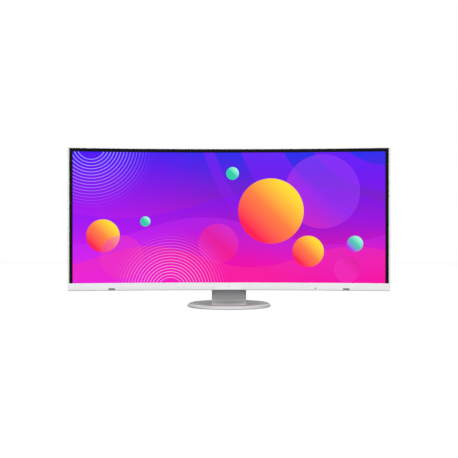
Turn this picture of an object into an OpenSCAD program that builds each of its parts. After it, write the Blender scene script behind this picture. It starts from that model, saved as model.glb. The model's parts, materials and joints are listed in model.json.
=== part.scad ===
// Curved ultrawide computer monitor on a stand that lifts, tilts and swivels.
// Millimetres, +Z up. The viewer sits at -Y. The origin is on the desk, at the middle of the round base,
// and both the swivel axis and the tilt axis pass over it.

/* [Screen] */
// Radius of the display's curve, at the face of its glass
curve_r = 2300; // [1800:50:3800]
// Width of the lit picture, straight across
active_w = 868.5; // [780:0.5:900]
// Height of the lit picture
active_h = 366.5; // [340:0.5:380]
// Width of the black border at each side of the picture
border_side = 9; // [6:0.5:14]
// Height of the black border above the picture
border_top = 9; // [5:0.5:12]
// Height of the white front bezel below the picture
chin_h = 21.5; // [18:0.5:30]
// Distance from the swivel axis forward to the middle of the glass
screen_forward = 75; // [70:1:90]
// Height of the bezel's lower edge above the desk, at rest
desk_clear = 53; // [50:1:70]

/* [Display stack] */
// Thickness of the liquid crystal cell with its polarisers
cell_t = 1.6; // [1:0.1:2.4]
// Thickness of the diffuser and prism films together
film_t = 1; // [0.6:0.1:1.6]
// Thickness of the light guide plate
guide_t = 3; // [2:0.1:4]
// Thickness of the white reflector sheet
reflector_t = 0.3; // [0.2:0.05:0.6]
// Thickness of the display's sheet metal chassis
chassis_t = 1; // [0.6:0.1:1.5]
// Thickness of the black frame in front of and around the cell
frame_t = 0.9; // [0.6:0.1:1.4]
// Clearance between the layers of the stack
layer_gap = 0.1; // [0.05:0.05:0.2]

/* [Cabinet] */
// Thickness of the cabinet's wall
wall = 2.2; // [1.8:0.1:3]
// Width of the cabinet's white rim at each side of the black border
rim_side = 3.4; // [2.4:0.1:4.5]
// Height of the cabinet's white rim above the black border
rim_top = 1.8; // [1.2:0.1:3]
// Depth of the cabinet at its outer edges
edge_depth = 14; // [13:0.5:17]
// Depth of the thin part of the cabinet
slab_depth = 26; // [24:0.5:30]
// Width of the hump's flat back
hump_w = 450; // [430:5:520]
// Height of the hump's flat back
hump_h = 262; // [250:2:280]
// Depth from the middle of the glass to the hump's flat back
hump_depth = 60; // [58:0.5:64]
// Size of the window in the hump for the mounting plate
window_size = 128; // [120:1:136]
// Width of one cooling slot
slot_w = 4; // [3:0.5:5]
// Pitch of the cooling slots
slot_pitch = 10; // [8:0.5:14]

/* [Mounting] */
// Spacing of the mounting holes, both ways
mount_pitch = 100; // [100:1:102]
// Diameter of the mounting holes
mount_hole_d = 4; // [3.6:0.1:4.6]
// Thickness of the steel mounting plate
mount_plate_t = 2.5; // [2:0.1:3]
// Size of the stand's quick release plate, both ways
release_plate_size = 84; // [76:1:88]
// Thickness of the quick release plate
release_plate_t = 3; // [2.5:0.1:3.2]

/* [Sockets] */
// Width of each socket pocket
pocket_w = 150; // [148:1:152]
// Height of each socket pocket above the hump's lower edge
pocket_h = 44; // [38:1:48]
// Depth of the pockets from the hump's back
pocket_depth = 33; // [31:0.5:34]
// Distance from the middle of the cabinet to each pocket
pocket_from = 58; // [56:1:62]

/* [Base] */
// Diameter of the base at the foot of its bevel
base_d = 242; // [230:1:250]
// Width of the base's bevel, straight across
bevel_w = 14; // [10:0.5:16]
// Height of the base's flat top above the desk
base_h = 12.4; // [12:0.2:15]
// Height of the bevel's lower edge above the desk
base_lip_h = 3.4; // [3:0.1:4]
// Wall of the base cover
base_wall = 2; // [1.6:0.1:2.4]
// Thickness of the steel turntable plate under the base
turntable_t = 3; // [2.5:0.1:3.2]
// Height of the rubber feet below the turntable plate
foot_h = 1.5; // [1:0.1:2]
// Diameter of one rubber foot
foot_d = 18; // [14:1:22]
// Thickness of the slippery ring that the base turns on
glide_t = 1.5; // [1:0.1:1.8]
// Diameter of the swivel pivot
pivot_d = 16; // [12:1:20]

/* [Column] */
// Width of the fixed column
column_w = 101; // [98:1:108]
// Depth of the fixed column
column_d = 42; // [40:1:44]
// Distance from the swivel axis back to the column's front
column_from = 32; // [31.5:0.5:34]
// Height of the column's top below the mast's top, at rest
column_drop = 10; // [9:0.5:14]
// Wall of the column's covers
column_wall = 2.5; // [2:0.1:2.8]
// Radius of the column's upright edges
column_edge_r = 9; // [7:0.5:11]
// Radius of the sweep from the column into its foot
foot_sweep_r = 18; // [12:1:20]
// Thickness of the foot that runs forward over the base
foot_t = 1.6; // [1.2:0.1:1.8]
// Width of the foot
foot_w = 97; // [88:1:98]

/* [Mast] */
// Width of the moving mast
mast_w = 92; // [88:1:96]
// Depth of the moving mast
mast_d = 16; // [15:0.5:16.5]
// Length of the moving mast
mast_l = 228; // [226:1:230]
// Height of the mast's lower end above the bezel's lower edge
mast_low = 5; // [4.5:0.5:8]
// Wall of the mast's cover
mast_wall = 2.5; // [2:0.1:3]

/* [Tilt hinge] */
// Diameter of the tilt shaft
shaft_d = 10; // [8:0.5:12]
// Length of the tilt shaft
shaft_l = 74; // [72:1:80]
// Running clearance round the shaft, on the radius
shaft_fit = 0.05; // [0.03:0.01:0.08]
// Thickness of the hinge's steel ears
ear_t = 4; // [3:0.5:5]

/* [Hidden] */

// Smoothness of round pieces, and of the sweeps round the display's far-off centre
$fn = 72;
arc_fn = 360;

// Clearances that several pieces share
rim_gap = 0.35;
fit = 0.3;
slip = 0.1;

// Heights
z_low = desk_clear;
z_lit = z_low + chin_h;
z_lit_top = z_lit + active_h;
z_frame_top = z_lit_top + border_top;
z_top = z_frame_top + rim_gap + rim_top;
z_axis = (z_low + z_top) / 2;
mast_z = z_low + mast_low;

// The display stack, as depths behind the face of the glass
d_cell = layer_gap;
d_film = d_cell + cell_t + layer_gap;
d_guide = d_film + film_t + layer_gap;
d_reflector = d_guide + guide_t + layer_gap;
d_chassis = d_reflector + reflector_t + layer_gap;
d_back = d_chassis + chassis_t;
stack_edge = 3;
low_bar = 10;
led_h = 3.4;
led_gap = 0.2;

// The white bezel
bezel_front = -2.4;
bezel_wall = 1.5;
bezel_back = 5.8;
bezel_chamfer = 2.4;
bezel_top_chamfer = 0.5;
frame_front = -frame_t;

// The cabinet
half_lit = active_w / 2;
half_frame = half_lit + border_side;
half_screen = half_frame + rim_gap + rim_side;
y_curve = -screen_forward - curve_r;
y_hump = -screen_forward + hump_depth;
y_hump_in = -screen_forward + 11;
hump_side_slope = 40;
hump_slope = 30;
hump_chamfer = 4;
z_hump = z_axis - hump_h / 2;
z_hump_top = z_axis + hump_h / 2;
top_slope = 26;
low_slope = 34;
side_slope_x = 112;
vent_margin = 12;

// Cabinet screws
screw_d = 3;
screw_head_d = 7;
screw_head_t = 1.2;
screw_sink = 1.5;
screw_bite = 8;

// Mounting plate
plate_size = window_size + 12;
y_plate = y_hump - wall;
hook_x = 24;
hook_w = 16;
latch_w = 12;
button_gap = 3.5;
y_release = y_plate;
y_release_back = y_plate + release_plate_t;

// Tray, its posts and the boards
tray_t = 1;
tray_gap = 1.6;
y_tray = -screen_forward + d_back + tray_gap;
boss_l = 34;
y_post = y_hump - boss_l;
post_d = 8;
board_t = 1.6;
board_stand = 5;
y_board = y_tray + tray_t + board_stand;
board_from = plate_size / 2 + 6;
board_to = hump_w / 2 - 34;
z_board_top = z_hump_top - 14;
sink_inset = 14;
sink_size = [50, 12, 50];
fin_t = 3;
chip_size = 12;
can_d = 16;
can_h = 14;
coil_size = [36, 15, 34];

// Pockets and sockets
z_pocket = z_hump + pocket_h;
y_pocket = y_hump - pocket_depth;
socket_rise = 9;
socket_drop = 4;
y_sockets = y_pocket + 14;
socket_wall = 0.6;
hdmi_size = [15, 5.5];
dp_size = [17, 6];
usb_c_size = [9.6, 4];
lan_size = [16, 14];
lan_void = [11.8, 9];
usb_a_size = [14, 6.5];
jack_size = [8, 8];
jack_d = 3.6;
jack_depth = 12;
hdmi_x = [pocket_from + 12, pocket_from + 33];
dp_x = pocket_from + 55;
usb_c_x = pocket_from + 74;
lan_x = pocket_from + 92;
usb_a_x = [pocket_from + 112, pocket_from + 130];
jack_x = pocket_from + 144;
inlet_size = [30, 22];
inlet_void = [24.4, 16.4];
inlet_x = -(pocket_from + 78);
inlet_depth = 15;
rocker_size = [21, 15];
rocker_x = -(pocket_from + 40);
rocker_frame_t = 1.5;
rocker_rim = 2;
rocker_axis_z = z_pocket + 4;

// Speakers, keys and sensors in the bezel
speaker_x = 328;
grille_w = 18.6;
grille_h = 7.4;
grille_slits = 7;
sensor_x = 243;
sensor_d = 3.4;
lamp_x = 262;
lamp_size = [1, 5];
presence_d = 3.6;
keys_z = z_low + 6;
presence_z = z_low + chin_h / 2;
speaker_w = 32;
speaker_l = 66;
key_board_from = sensor_x - 14;
key_board_to = speaker_x - speaker_w / 2 - 3;

// Base
base_top_d = base_d - 2 * bevel_w;
base_bottom = 1;
rim_turn_in = 2.5;
plate_top = foot_h + turntable_t;
turntable_d = base_d - 2 * (rim_turn_in + base_wall) - 10;
glide_d = 150;
glide_w = 14;
weight_gap = 0.1;
weight_from = plate_top + glide_t + weight_gap;
weight_top = base_h - base_wall - weight_gap;
weight_d = base_top_d - 14;
pivot_head_d = pivot_d + 8;
pivot_head_t = 2;
foot_ring_d = turntable_d - foot_d - 6;
foot_count = 6;

// Column
column_top = mast_z + mast_l - column_drop;
column_back = column_from + column_d;
column_split = column_from + column_d / 2;
channel_w = 76;
z_channel = z_low - 5;
frame_plate_t = 2;
rail_size = [8, 6];
rail_x = 27;
y_frame = column_from + 9;
frame_w = column_w - 2 * column_wall - 4;
flange_t = 3;
z_rail_top = column_top - column_wall - 1;

// Mast
mast_from = column_from - 2;
mast_front = mast_from - mast_d;
mast_edge_r = 6;
mast_frame_t = 2.5;
carriage_h = 30;
carriage_low = 28;
block_w = 13;
carriage_t = 2.5;
bracket_w = 64;
bracket_h = 58;
bracket_t = 3;
bracket_window = 3;

// Lift springs
coil_r = 12;
coil_hub_r = 4.5;
coil_w = 16;
coil_x = 10;
strip_t = 0.3;
y_strip = y_frame - 2.4;
z_coil = z_rail_top - coil_r - 3;

// Cable holder
holder_screw_x = 20;
holder_z = z_hump;
holder_h = 26;
holder_w = 68;
holder_d = 26;
holder_t = 2.6;

// Tilt hinge, about the line along X through y = 0, z = z_axis
ear_r = 11.5;
release_ear_r = 9.5;
bracket_ear_x = 28;
release_ear_x = 20;
washer_t = 1.2;
washer_d = shaft_d + 8;
nut_d = shaft_d + 7;
nut_t = 5;

// Depth of the chassis's back at distance x along the width
function y_chassis(x) = y_curve + (curve_r + d_back) * cos(asin(x / curve_r));

// Screws that hold the cabinet, as (x, z) over the hump's flat back
cabinet_screw_at = [
    for (x = [-1, 1], z = [-1, 1])
        [x * (hump_w / 2 - 18), z_axis + z * (hump_h / 2 - 22) + (z < 0 ? pocket_h + 2 : 0)]
];

// Screws that hold the hinge bracket to the mast, as (x, z)
mast_screw_at = [
    for (x = [-1, 1], z = [-1, 1]) [x * (bracket_w / 2 - 14), z_axis + z * (bracket_h / 2 - 8)]
];

// One row of (x, width, depth) for every socket that passes through a pocket's ceiling
socket_holes = concat(
    [for (x = hdmi_x) [x, hdmi_size[0], hdmi_size[1]]],
    [[dp_x, dp_size[0], dp_size[1]], [usb_c_x, usb_c_size[0], usb_c_size[1]], [lan_x, lan_size[0], lan_size[1]]],
    [for (x = usb_a_x) [x, usb_a_size[0], usb_a_size[1]]],
    [[jack_x, jack_size[0], jack_size[1]], [inlet_x, inlet_size[0], inlet_size[1]]],
    [[rocker_x, rocker_size[0] - 2, rocker_size[1] - 2]]
);

// Colours
c_white = "#e8eaec";
c_grey = "#a3a6a8";
c_silver = "#b9bcbe";
c_steel = "#8d9194";
c_black = "#16161a";
c_board = "#1f5c38";

// ---------- helpers ----------

// A block of the display's curve, from depth d0 to d1 behind the glass, reaching half_w each way at the glass
module arc_block(d0, d1, half_w, z0, z1) {
    arc_sweep(half_w) translate([d0, z0]) square([d1 - d0, z1 - z0]);
}

// Sweeps a 2D outline of (depth behind the glass, height) along the display's curve
module arc_sweep(half_w) {
    turn = asin(half_w / curve_r);
    translate([0, y_curve, 0])
        rotate_extrude(angle = 2 * turn, start = 90 - turn, $fn = arc_fn)
            translate([curve_r, 0]) children();
}

// Places children on the glass at distance x along the width: local x is along the glass and y is depth
module on_curve(x) {
    translate([0, y_curve, 0]) rotate([0, 0, -asin(x / curve_r)]) translate([0, curve_r, 0]) children();
}

// A box given by its two opposite corners
module span(low, high) {
    translate(low) cube(high - low);
}

// A rectangle with round corners, from its low corner
module round_rect(low, size, r) {
    translate([low[0] + r, low[1]]) square([size[0] - 2 * r, size[1]]);
    translate([low[0], low[1] + r]) square([size[0], size[1] - 2 * r]);
    for (x = [r, size[0] - r], y = [r, size[1] - r])
        translate([low[0] + x, low[1] + y]) circle(r);
}

// A rod along +Y that starts at the given point
module rod_y(at, d, l) {
    translate(at) rotate([-90, 0, 0]) cylinder(d = d, h = l);
}

// A rod along X, centred on x = 0, over the point (y, z)
module rod_x(y, z, d, l, x = 0) {
    translate([x, y, z]) rotate([0, 90, 0]) cylinder(d = d, h = l, center = true);
}

// Extrudes an outline drawn in (y, z) along X, centred
module along_x(w) {
    rotate([90, 0, 90]) linear_extrude(w, center = true) children();
}

// ---------- display stack ----------

module stack_layer(d, t) {
    arc_block(d, d + t, half_lit + stack_edge, z_lit - stack_edge, z_lit_top + stack_edge);
}

module lcd_panel() {
    color("#5a2bd8") stack_layer(d_cell, cell_t);
}

module optical_films() {
    color("#dfe4e8") stack_layer(d_film, film_t);
}

module light_guide() {
    color("#cfe6ee") stack_layer(d_guide, guide_t);
}

module reflector_sheet() {
    color("#f4f4f2") stack_layer(d_reflector, reflector_t);
}

// The plastic frame that holds the light guide and films and carries the cell
module mid_frame() {
    half_out = half_frame - frame_t - layer_gap;
    low_out = z_lit - low_bar;
    color("#e9e9e4") difference() {
        arc_block(d_film, d_chassis - layer_gap, half_out, low_out, z_frame_top - frame_t - layer_gap);
        arc_block(d_film - 1, d_chassis + 1, half_lit + stack_edge + layer_gap,
            z_lit - stack_edge - led_h - 2 * led_gap, z_lit_top + stack_edge + layer_gap);
    }
}

module led_bar() {
    z1 = z_lit - stack_edge - led_gap;
    color("#f2efd8") arc_block(d_guide, d_reflector - layer_gap, half_lit, z1 - led_h, z1);
}

module panel_chassis() {
    half_out = half_frame - frame_t - layer_gap;
    color(c_steel) arc_block(d_chassis, d_back, half_out, z_lit - low_bar, z_frame_top - frame_t - layer_gap);
}

// The black border: a thin face with walls round the stack
module panel_frame() {
    low = z_lit - low_bar;
    color(c_black) difference() {
        arc_block(frame_front, d_back, half_frame, low, z_frame_top);
        arc_block(frame_front - 1, d_cell, half_lit, z_lit, z_lit_top);
        arc_block(0, d_back + 1, half_frame - frame_t, low - 1, z_frame_top - frame_t);
    }
}

// ---------- bezel ----------

// The bezel's outline, as depth and height, before it is hollowed
module bezel_outline() {
    polygon([
        [bezel_front + bezel_top_chamfer, z_lit],
        [bezel_front, z_lit - bezel_top_chamfer],
        [bezel_front, z_low + bezel_chamfer],
        [bezel_front + bezel_chamfer, z_low],
        [bezel_back, z_low],
        [bezel_back, z_lit]
    ]);
}

module bezel_holes() {
    for (side = [-1, 1]) on_curve(side * speaker_x)
        span([-grille_w / 2, bezel_front - 1, z_low - 1],
            [grille_w / 2, bezel_front + bezel_wall + 1, z_low + grille_h]);
    on_curve(sensor_x) rod_y([0, bezel_front - 1, keys_z], sensor_d + slip, bezel_wall + 2);
    on_curve(0) rod_y([0, bezel_front - 1, presence_z], presence_d + slip, bezel_wall + 2);
    on_curve(lamp_x) span([-lamp_size[0] / 2, bezel_front - 1, keys_z - lamp_size[1] / 2],
        [lamp_size[0] / 2, bezel_front + bezel_wall + 1, keys_z + lamp_size[1] / 2]);
}

module front_bezel() {
    color(c_white) difference() {
        arc_sweep(half_screen) bezel_outline();
        arc_block(bezel_front + bezel_wall, bezel_back + 1, half_screen - wall, z_low + bezel_wall, z_lit + 1);
        bezel_holes();
    }
}

// Slotted inserts that close the speaker windows
module speaker_grilles() {
    pitch = grille_w / (grille_slits + 1);
    color("#8f9397") for (side = [-1, 1]) on_curve(side * speaker_x) difference() {
        union() {
            span([-grille_w / 2, bezel_front + 0.6, z_low + 1], [grille_w / 2, bezel_front + bezel_wall, z_low + grille_h]);
            span([-grille_w / 2, bezel_front + 1.8, z_low + 0.4], [grille_w / 2, bezel_front + 2.4, z_low + 1.2]);
            span([-grille_w / 2 - 1.5, bezel_front + bezel_wall + slip, z_low + bezel_wall + slip],
                [grille_w / 2 + 1.5, bezel_front + bezel_wall + 1, z_low + grille_h + 1.5]);
            span([-grille_w / 2, bezel_front + bezel_wall, z_low + bezel_wall + slip],
                [grille_w / 2, bezel_front + bezel_wall + 1, z_low + grille_h]);
        }
        for (i = [1 : grille_slits])
            span([-grille_w / 2 + i * pitch - 0.5, bezel_front - 1, z_low + 2],
                [-grille_w / 2 + i * pitch + 0.5, bezel_front + bezel_wall + 2, z_low + grille_h - 1]);
    }
}

module speakers() {
    y0 = bezel_front + bezel_wall + 1 + slip;
    color("#2b2b2e") for (side = [-1, 1]) on_curve(side * speaker_x) {
        span([-speaker_w / 2, y0, z_low + wall + slip], [speaker_w / 2, y0 + 4, z_low + 9.5]);
        span([side > 0 ? -speaker_w / 2 : speaker_w / 2 - speaker_l, y0 + 4, z_low + wall + slip],
            [side > 0 ? speaker_l - speaker_w / 2 : speaker_w / 2, edge_depth, z_low + 9.5]);
    }
}

module touch_key_board() {
    y0 = bezel_front + bezel_wall + slip;
    color(c_board) {
        on_curve((key_board_from + key_board_to) / 2)
            span([(key_board_from - key_board_to) / 2, y0, z_low + bezel_wall + slip],
                [(key_board_to - key_board_from) / 2, y0 + 0.8, z_low + chin_h - low_bar - 0.5]);
        on_curve(0) span([-12, y0, presence_z - 5], [12, y0 + 0.7, presence_z + 0.4]);
    }
}

module light_sensor_lens() {
    color("#3a3c40") on_curve(sensor_x) rod_y([0, bezel_front + 0.2, keys_z], sensor_d, bezel_wall - 0.2);
}

module presence_sensor_lens() {
    color("#b8bcc0") on_curve(0) rod_y([0, bezel_front + 0.1, presence_z], presence_d, bezel_wall - 0.1);
}

module power_lamp_lens() {
    inset = slip / 2;
    color("#cfd6da") on_curve(lamp_x)
        span([-lamp_size[0] / 2 + inset, bezel_front + 0.1, keys_z - lamp_size[1] / 2 + inset],
            [lamp_size[0] / 2 - inset, bezel_front + bezel_wall, keys_z + lamp_size[1] / 2 - inset]);
}

// ---------- cabinet ----------

// The slab's outline, as depth and height, taken in by t on every face but the front
module slab_outline(t) {
    front = t > 0 ? -6 : frame_front;
    top = t > 0 ? z_frame_top + rim_gap : z_top;
    polygon([
        [front, z_low + t], [front, top - 0.6], [front + 0.6, top],
        [edge_depth - t / 2, top], [slab_depth - t, z_top - top_slope - t / 2],
        [slab_depth - t, z_low + low_slope + t / 2], [edge_depth + 4 - t / 2, z_low + t]
    ]);
}

// Cuts the slab's depth back towards its left and right edges, taken in by t
module slab_plan(t) {
    y_edge = y_curve + (curve_r + edge_depth) * cos(asin(half_screen / curve_r)) - t;
    x_in = half_screen - side_slope_x - t;
    translate([0, 0, z_low - 20]) linear_extrude(z_top - z_low + 40) polygon([
        [-half_screen - 5, -400], [half_screen + 5, -400],
        [half_screen + 5, y_edge - 2.5], [x_in, y_edge + 60], [-x_in, y_edge + 60], [-half_screen - 5, y_edge - 2.5]
    ]);
}

module slab_body(t) {
    half_w = t > 0 ? half_frame + rim_gap : half_screen;
    intersection() {
        arc_sweep(half_w) slab_outline(t);
        slab_plan(t);
    }
}

// The hump behind the slab: sloping sides with a small chamfer round its flat back, taken in by t
module hump_body(t) {
    c = hump_chamfer;
    hw = hump_w / 2 - t;
    zb = z_hump + t;
    zt = z_hump_top - t;
    yb = y_hump - t;
    y_in = y_hump_in - (t > 0 ? 4 : 0);
    rise = (yb - c - y_in);
    intersection() {
        translate([0, 0, z_low]) linear_extrude(z_top - z_low) polygon([
            [-hw - hump_side_slope, y_in], [hw + hump_side_slope, y_in],
            [hw, yb - c], [hw - c, yb], [-hw + c, yb], [-hw, yb - c]
        ]);
        along_x(2 * hump_w) polygon([
            [y_in, zb - hump_slope], [yb - c, zb], [yb, zb + c],
            [yb, zt - c], [yb - c, zt], [y_in, zt + hump_slope]
        ]);
    }
}

// A pocket under the hump, open below and behind; grow thickens it into its own walls
module pocket(side, grow) {
    x0 = pocket_from - grow;
    x1 = pocket_from + pocket_w + grow;
    xa = side > 0 ? x0 : -x1;
    xb = side > 0 ? x1 : -x0;
    span([xa, y_pocket - grow, z_hump - 60], [xb, y_hump + (grow > 0 ? 0 : 20), z_pocket + grow]);
}

module cooling_slots() {
    count = floor((hump_w / 2 - vent_margin) / slot_pitch);
    for (i = [-count : count]) translate([i * slot_pitch - slot_w / 2, 0, 0]) {
        span([0, y_hump_in + 17, z_hump_top - 6], [slot_w, y_hump - 12, z_hump_top + hump_slope + 4]);
        if (abs(i * slot_pitch) < pocket_from - 8)
            span([0, y_hump_in + 17, z_hump - hump_slope - 4], [slot_w, y_hump - 12, z_hump + 6]);
    }
}

module cabinet_screw_bosses() {
    for (p = cabinet_screw_at)
        rod_y([p[0], y_post, p[1]], screw_head_d + 4, y_hump - wall - y_post + 0.5);
}

module cabinet_screw_holes() {
    for (p = cabinet_screw_at) {
        rod_y([p[0], y_post - 1, p[1]], screw_d + 0.4, y_hump - y_post + 2);
        rod_y([p[0], y_hump - screw_sink - screw_head_t, p[1]], screw_head_d + 0.6, 5);
    }
}

module rear_cabinet() {
    color(c_white) difference() {
        union() {
            difference() {
                union() {
                    slab_body(0);
                    hump_body(0);
                }
                slab_body(wall);
                hump_body(wall);
                arc_block(-20, bezel_back + slip, half_screen + 10, z_low - 5, z_lit + slip);
            }
            intersection() {
                hump_body(0);
                union() for (side = [-1, 1]) pocket(side, wall);
            }
            cabinet_screw_bosses();
        }
        for (side = [-1, 1]) pocket(side, 0);
        cooling_slots();
        cabinet_screw_holes();
        socket_cuts();
        span([-window_size / 2, y_hump - wall - 1, z_axis - window_size / 2],
            [window_size / 2, y_hump + 1, z_axis + window_size / 2]);
        // the slot for a security lock
        span([hump_w / 2 - 32, y_hump - wall - 1, z_pocket + 20], [hump_w / 2 - 25, y_hump + 1, z_pocket + 23]);
    }
}

module cabinet_screws() {
    y_head = y_hump - screw_sink - screw_head_t;
    color("#c9ccd0") for (p = cabinet_screw_at) difference() {
        union() {
            rod_y([p[0], y_head, p[1]], screw_head_d, screw_head_t);
            rod_y([p[0], y_post - screw_bite, p[1]], screw_d, y_head + screw_head_t / 2 - y_post + screw_bite);
        }
        span([p[0] - 2.2, y_head + 0.5, p[1] - 0.45], [p[0] + 2.2, y_hump, p[1] + 0.45]);
        span([p[0] - 0.45, y_head + 0.5, p[1] - 2.2], [p[0] + 0.45, y_hump, p[1] + 2.2]);
    }
}

// ---------- tray, boards and mounting plate ----------

// Steel tray between the display's chassis and the boards, on feet that reach the chassis
module electronics_tray() {
    hw = hump_w / 2 - 6;
    z0 = z_pocket + wall + 2;
    z1 = z_hump_top - 8;
    feet = [-hw + 8, -0.35 * hw, 0.35 * hw, hw - 8];
    color(c_steel) difference() {
        union() {
            span([-hw, y_tray, z0], [hw, y_tray + tray_t, z1]);
            for (x = feet, z = [z0 + 8, z1 - 8])
                span([x - 6, y_chassis(abs(x) - 6) + slip / 2, z - 6], [x + 6, y_tray + tray_t / 2, z + 6]);
            for (p = cabinet_screw_at) rod_y([p[0], y_tray + tray_t / 2, p[1]], post_d, y_post - slip - y_tray - tray_t / 2);
        }
        for (p = cabinet_screw_at)
            rod_y([p[0], y_post - screw_bite - 1, p[1]], screw_d + 0.2, screw_bite + 2);
    }
}

module mounting_plate() {
    h = plate_size / 2;
    y0 = y_plate - mount_plate_t;
    color(c_steel) difference() {
        union() {
            span([-h, y0, z_axis - h], [h, y_plate, z_axis + h]);
            for (x = [-1, 1], z = [-1, 1]) {
                rod_y([x * mount_pitch / 2, y0 - 8, z_axis + z * mount_pitch / 2], mount_hole_d + 5, 8.5);
                rod_y([x * (h - 5), y_tray + tray_t, z_axis + z * (h - 5)], post_d, y0 + 0.5 - y_tray - tray_t);
            }
        }
        for (x = [-1, 1], z = [-1, 1])
            rod_y([x * mount_pitch / 2, y0 - 7, z_axis + z * mount_pitch / 2], mount_hole_d, 20);
        // slots for the quick release plate's hooks and its latch
        for (x = [-1, 1])
            span([x * hook_x - hook_w / 2 - 0.2, y0 - 1, z_axis + 30], [x * hook_x + hook_w / 2 + 0.2, y_plate + 1, z_axis + 36]);
        span([-latch_w / 2 - 0.2, y0 - 1, z_axis - 36], [latch_w / 2 + 0.2, y_plate + 1, z_axis - 26]);
    }
}

module board(x0, x1) {
    y0 = y_board;
    z0 = z_pocket + wall + socket_rise + 1;
    span([x0, y0, z0], [x1, y0 + board_t, z_board_top]);
    for (x = [x0 + 6, x1 - 6], z = [z0 + 6, z_board_top - 6])
        rod_y([x, y0 - board_stand, z], 5, board_stand);
}

module main_board() {
    color(c_board) board(board_from, board_to);
}

module power_board() {
    color("#b8914e") board(-board_to, -board_from);
}

// Heat sink and memory on the main board; capacitors, transformer and coil on the power board
module board_parts() {
    y0 = y_board + board_t;
    x0 = board_from + sink_inset;
    fins = floor(sink_size[0] / (2 * fin_t));
    color("#5d6266") {
        difference() {
            span([x0, y0, z_axis - sink_size[2] / 2], [x0 + sink_size[0], y0 + sink_size[1], z_axis + sink_size[2] / 2]);
            for (i = [1 : fins - 1])
                span([x0 + (2 * i - 1) * fin_t, y0 + fin_t, z_axis - sink_size[2] / 2 - 1],
                    [x0 + 2 * i * fin_t, y0 + sink_size[1] + 1, z_axis + sink_size[2] / 2 + 1]);
        }
        span([x0 + sink_size[0] + 10, y0, z_axis], [x0 + sink_size[0] + 10 + chip_size, y0 + 2, z_axis + chip_size]);
    }
    color("#2e3034") {
        for (i = [0 : 2]) rod_y([-x0 - can_d / 2 - i * (can_d + 6), y0, z_board_top - can_d], can_d, can_h);
        span([-x0 - coil_size[0], y0, z_axis - coil_size[2] / 2], [-x0, y0 + coil_size[1], z_axis + coil_size[2] / 2]);
        span([-x0 - coil_size[0] - 30, y0, z_axis - 10], [-x0 - coil_size[0] - 10, y0 + can_h - 3, z_axis + 10]);
    }
}

// Flat ribbon from the main board over the tray's top edge to the display
module display_ribbon() {
    x0 = board_from + 20;
    z1 = z_hump_top - 5;
    y0 = y_board + board_t;
    color("#d9c58a") {
        span([x0, y0, z1 - 16], [x0 + 40, y0 + 0.5, z1]);
        span([x0, y_chassis(x0) + slip / 2, z1 - 0.5], [x0 + 40, y0 + 0.5, z1]);
    }
}

// ---------- sockets ----------

module socket_cuts() {
    for (s = socket_holes)
        span([s[0] - s[1] / 2 - slip, y_sockets - s[2] / 2 - slip, z_pocket - 1],
            [s[0] + s[1] / 2 + slip, y_sockets + s[2] / 2 + slip, z_pocket + wall + 1]);
}

// A socket's shell: a box over the pocket's ceiling, hollow and open downwards
module socket_shell(x, size, w, drop = socket_drop, rise = socket_rise) {
    difference() {
        span([x - size[0] / 2, y_sockets - size[1] / 2, z_pocket - drop],
            [x + size[0] / 2, y_sockets + size[1] / 2, z_pocket + wall + rise]);
        span([x - size[0] / 2 + w, y_sockets - size[1] / 2 + w, z_pocket - drop - 1],
            [x + size[0] / 2 - w, y_sockets + size[1] / 2 - w, z_pocket + wall + rise - w]);
    }
}

module socket_tongue(x, size, drop = socket_drop, rise = socket_rise) {
    span([x - size[0] / 2, y_sockets - size[1] / 2, z_pocket - drop + 1],
        [x + size[0] / 2, y_sockets + size[1] / 2, z_pocket + wall + rise - socket_wall]);
}

module hdmi_sockets() {
    color("#c8ccd0") for (x = hdmi_x) {
        socket_shell(x, hdmi_size, socket_wall);
        socket_tongue(x, [11, 1.2]);
    }
}

module displayport_socket() {
    color("#c8ccd0") {
        socket_shell(dp_x, dp_size, socket_wall);
        socket_tongue(dp_x, [12, 1.4]);
    }
}

module usb_c_socket() {
    color("#c8ccd0") {
        socket_shell(usb_c_x, usb_c_size, socket_wall);
        socket_tongue(usb_c_x, [6.6, 0.7]);
    }
}

module network_socket() {
    color("#4a4d52") difference() {
        socket_shell(lan_x, lan_size, 2);
        span([lan_x - 3, y_sockets + lan_void[1] / 2, z_pocket - socket_drop - 1],
            [lan_x + 3, y_sockets + lan_size[1] / 2 - 0.6, z_pocket + 2]);
    }
}

module usb_a_sockets() {
    color("#c8ccd0") for (x = usb_a_x) {
        socket_shell(x, usb_a_size, socket_wall);
        translate([0, 1.3, 0]) socket_tongue(x, [11, 1.6]);
    }
}

module headphone_socket() {
    color("#2a2c30") difference() {
        span([jack_x - jack_size[0] / 2, y_sockets - jack_size[1] / 2, z_pocket - socket_drop / 2],
            [jack_x + jack_size[0] / 2, y_sockets + jack_size[1] / 2, z_pocket + wall + socket_rise + 2]);
        translate([jack_x, y_sockets, z_pocket - socket_drop / 2 - 1]) cylinder(d = jack_d, h = jack_depth + 1);
    }
}

module mains_inlet() {
    color("#1d1d20") difference() {
        span([inlet_x - inlet_size[0] / 2, y_sockets - inlet_size[1] / 2, z_pocket - 2],
            [inlet_x + inlet_size[0] / 2, y_sockets + inlet_size[1] / 2, z_pocket + inlet_depth + 3]);
        span([inlet_x - inlet_void[0] / 2, y_sockets - inlet_void[1] / 2, z_pocket - 3],
            [inlet_x + inlet_void[0] / 2, y_sockets + inlet_void[1] / 2, z_pocket + inlet_depth]);
    }
}

module inlet_pins() {
    color("#d2c9a0") for (p = [[-7, -2.5], [0, 3], [7, -2.5]])
        span([inlet_x + p[0] - 1, y_sockets + p[1] - 2, z_pocket],
            [inlet_x + p[0] + 1, y_sockets + p[1] + 2, z_pocket + inlet_depth]);
}

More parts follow.
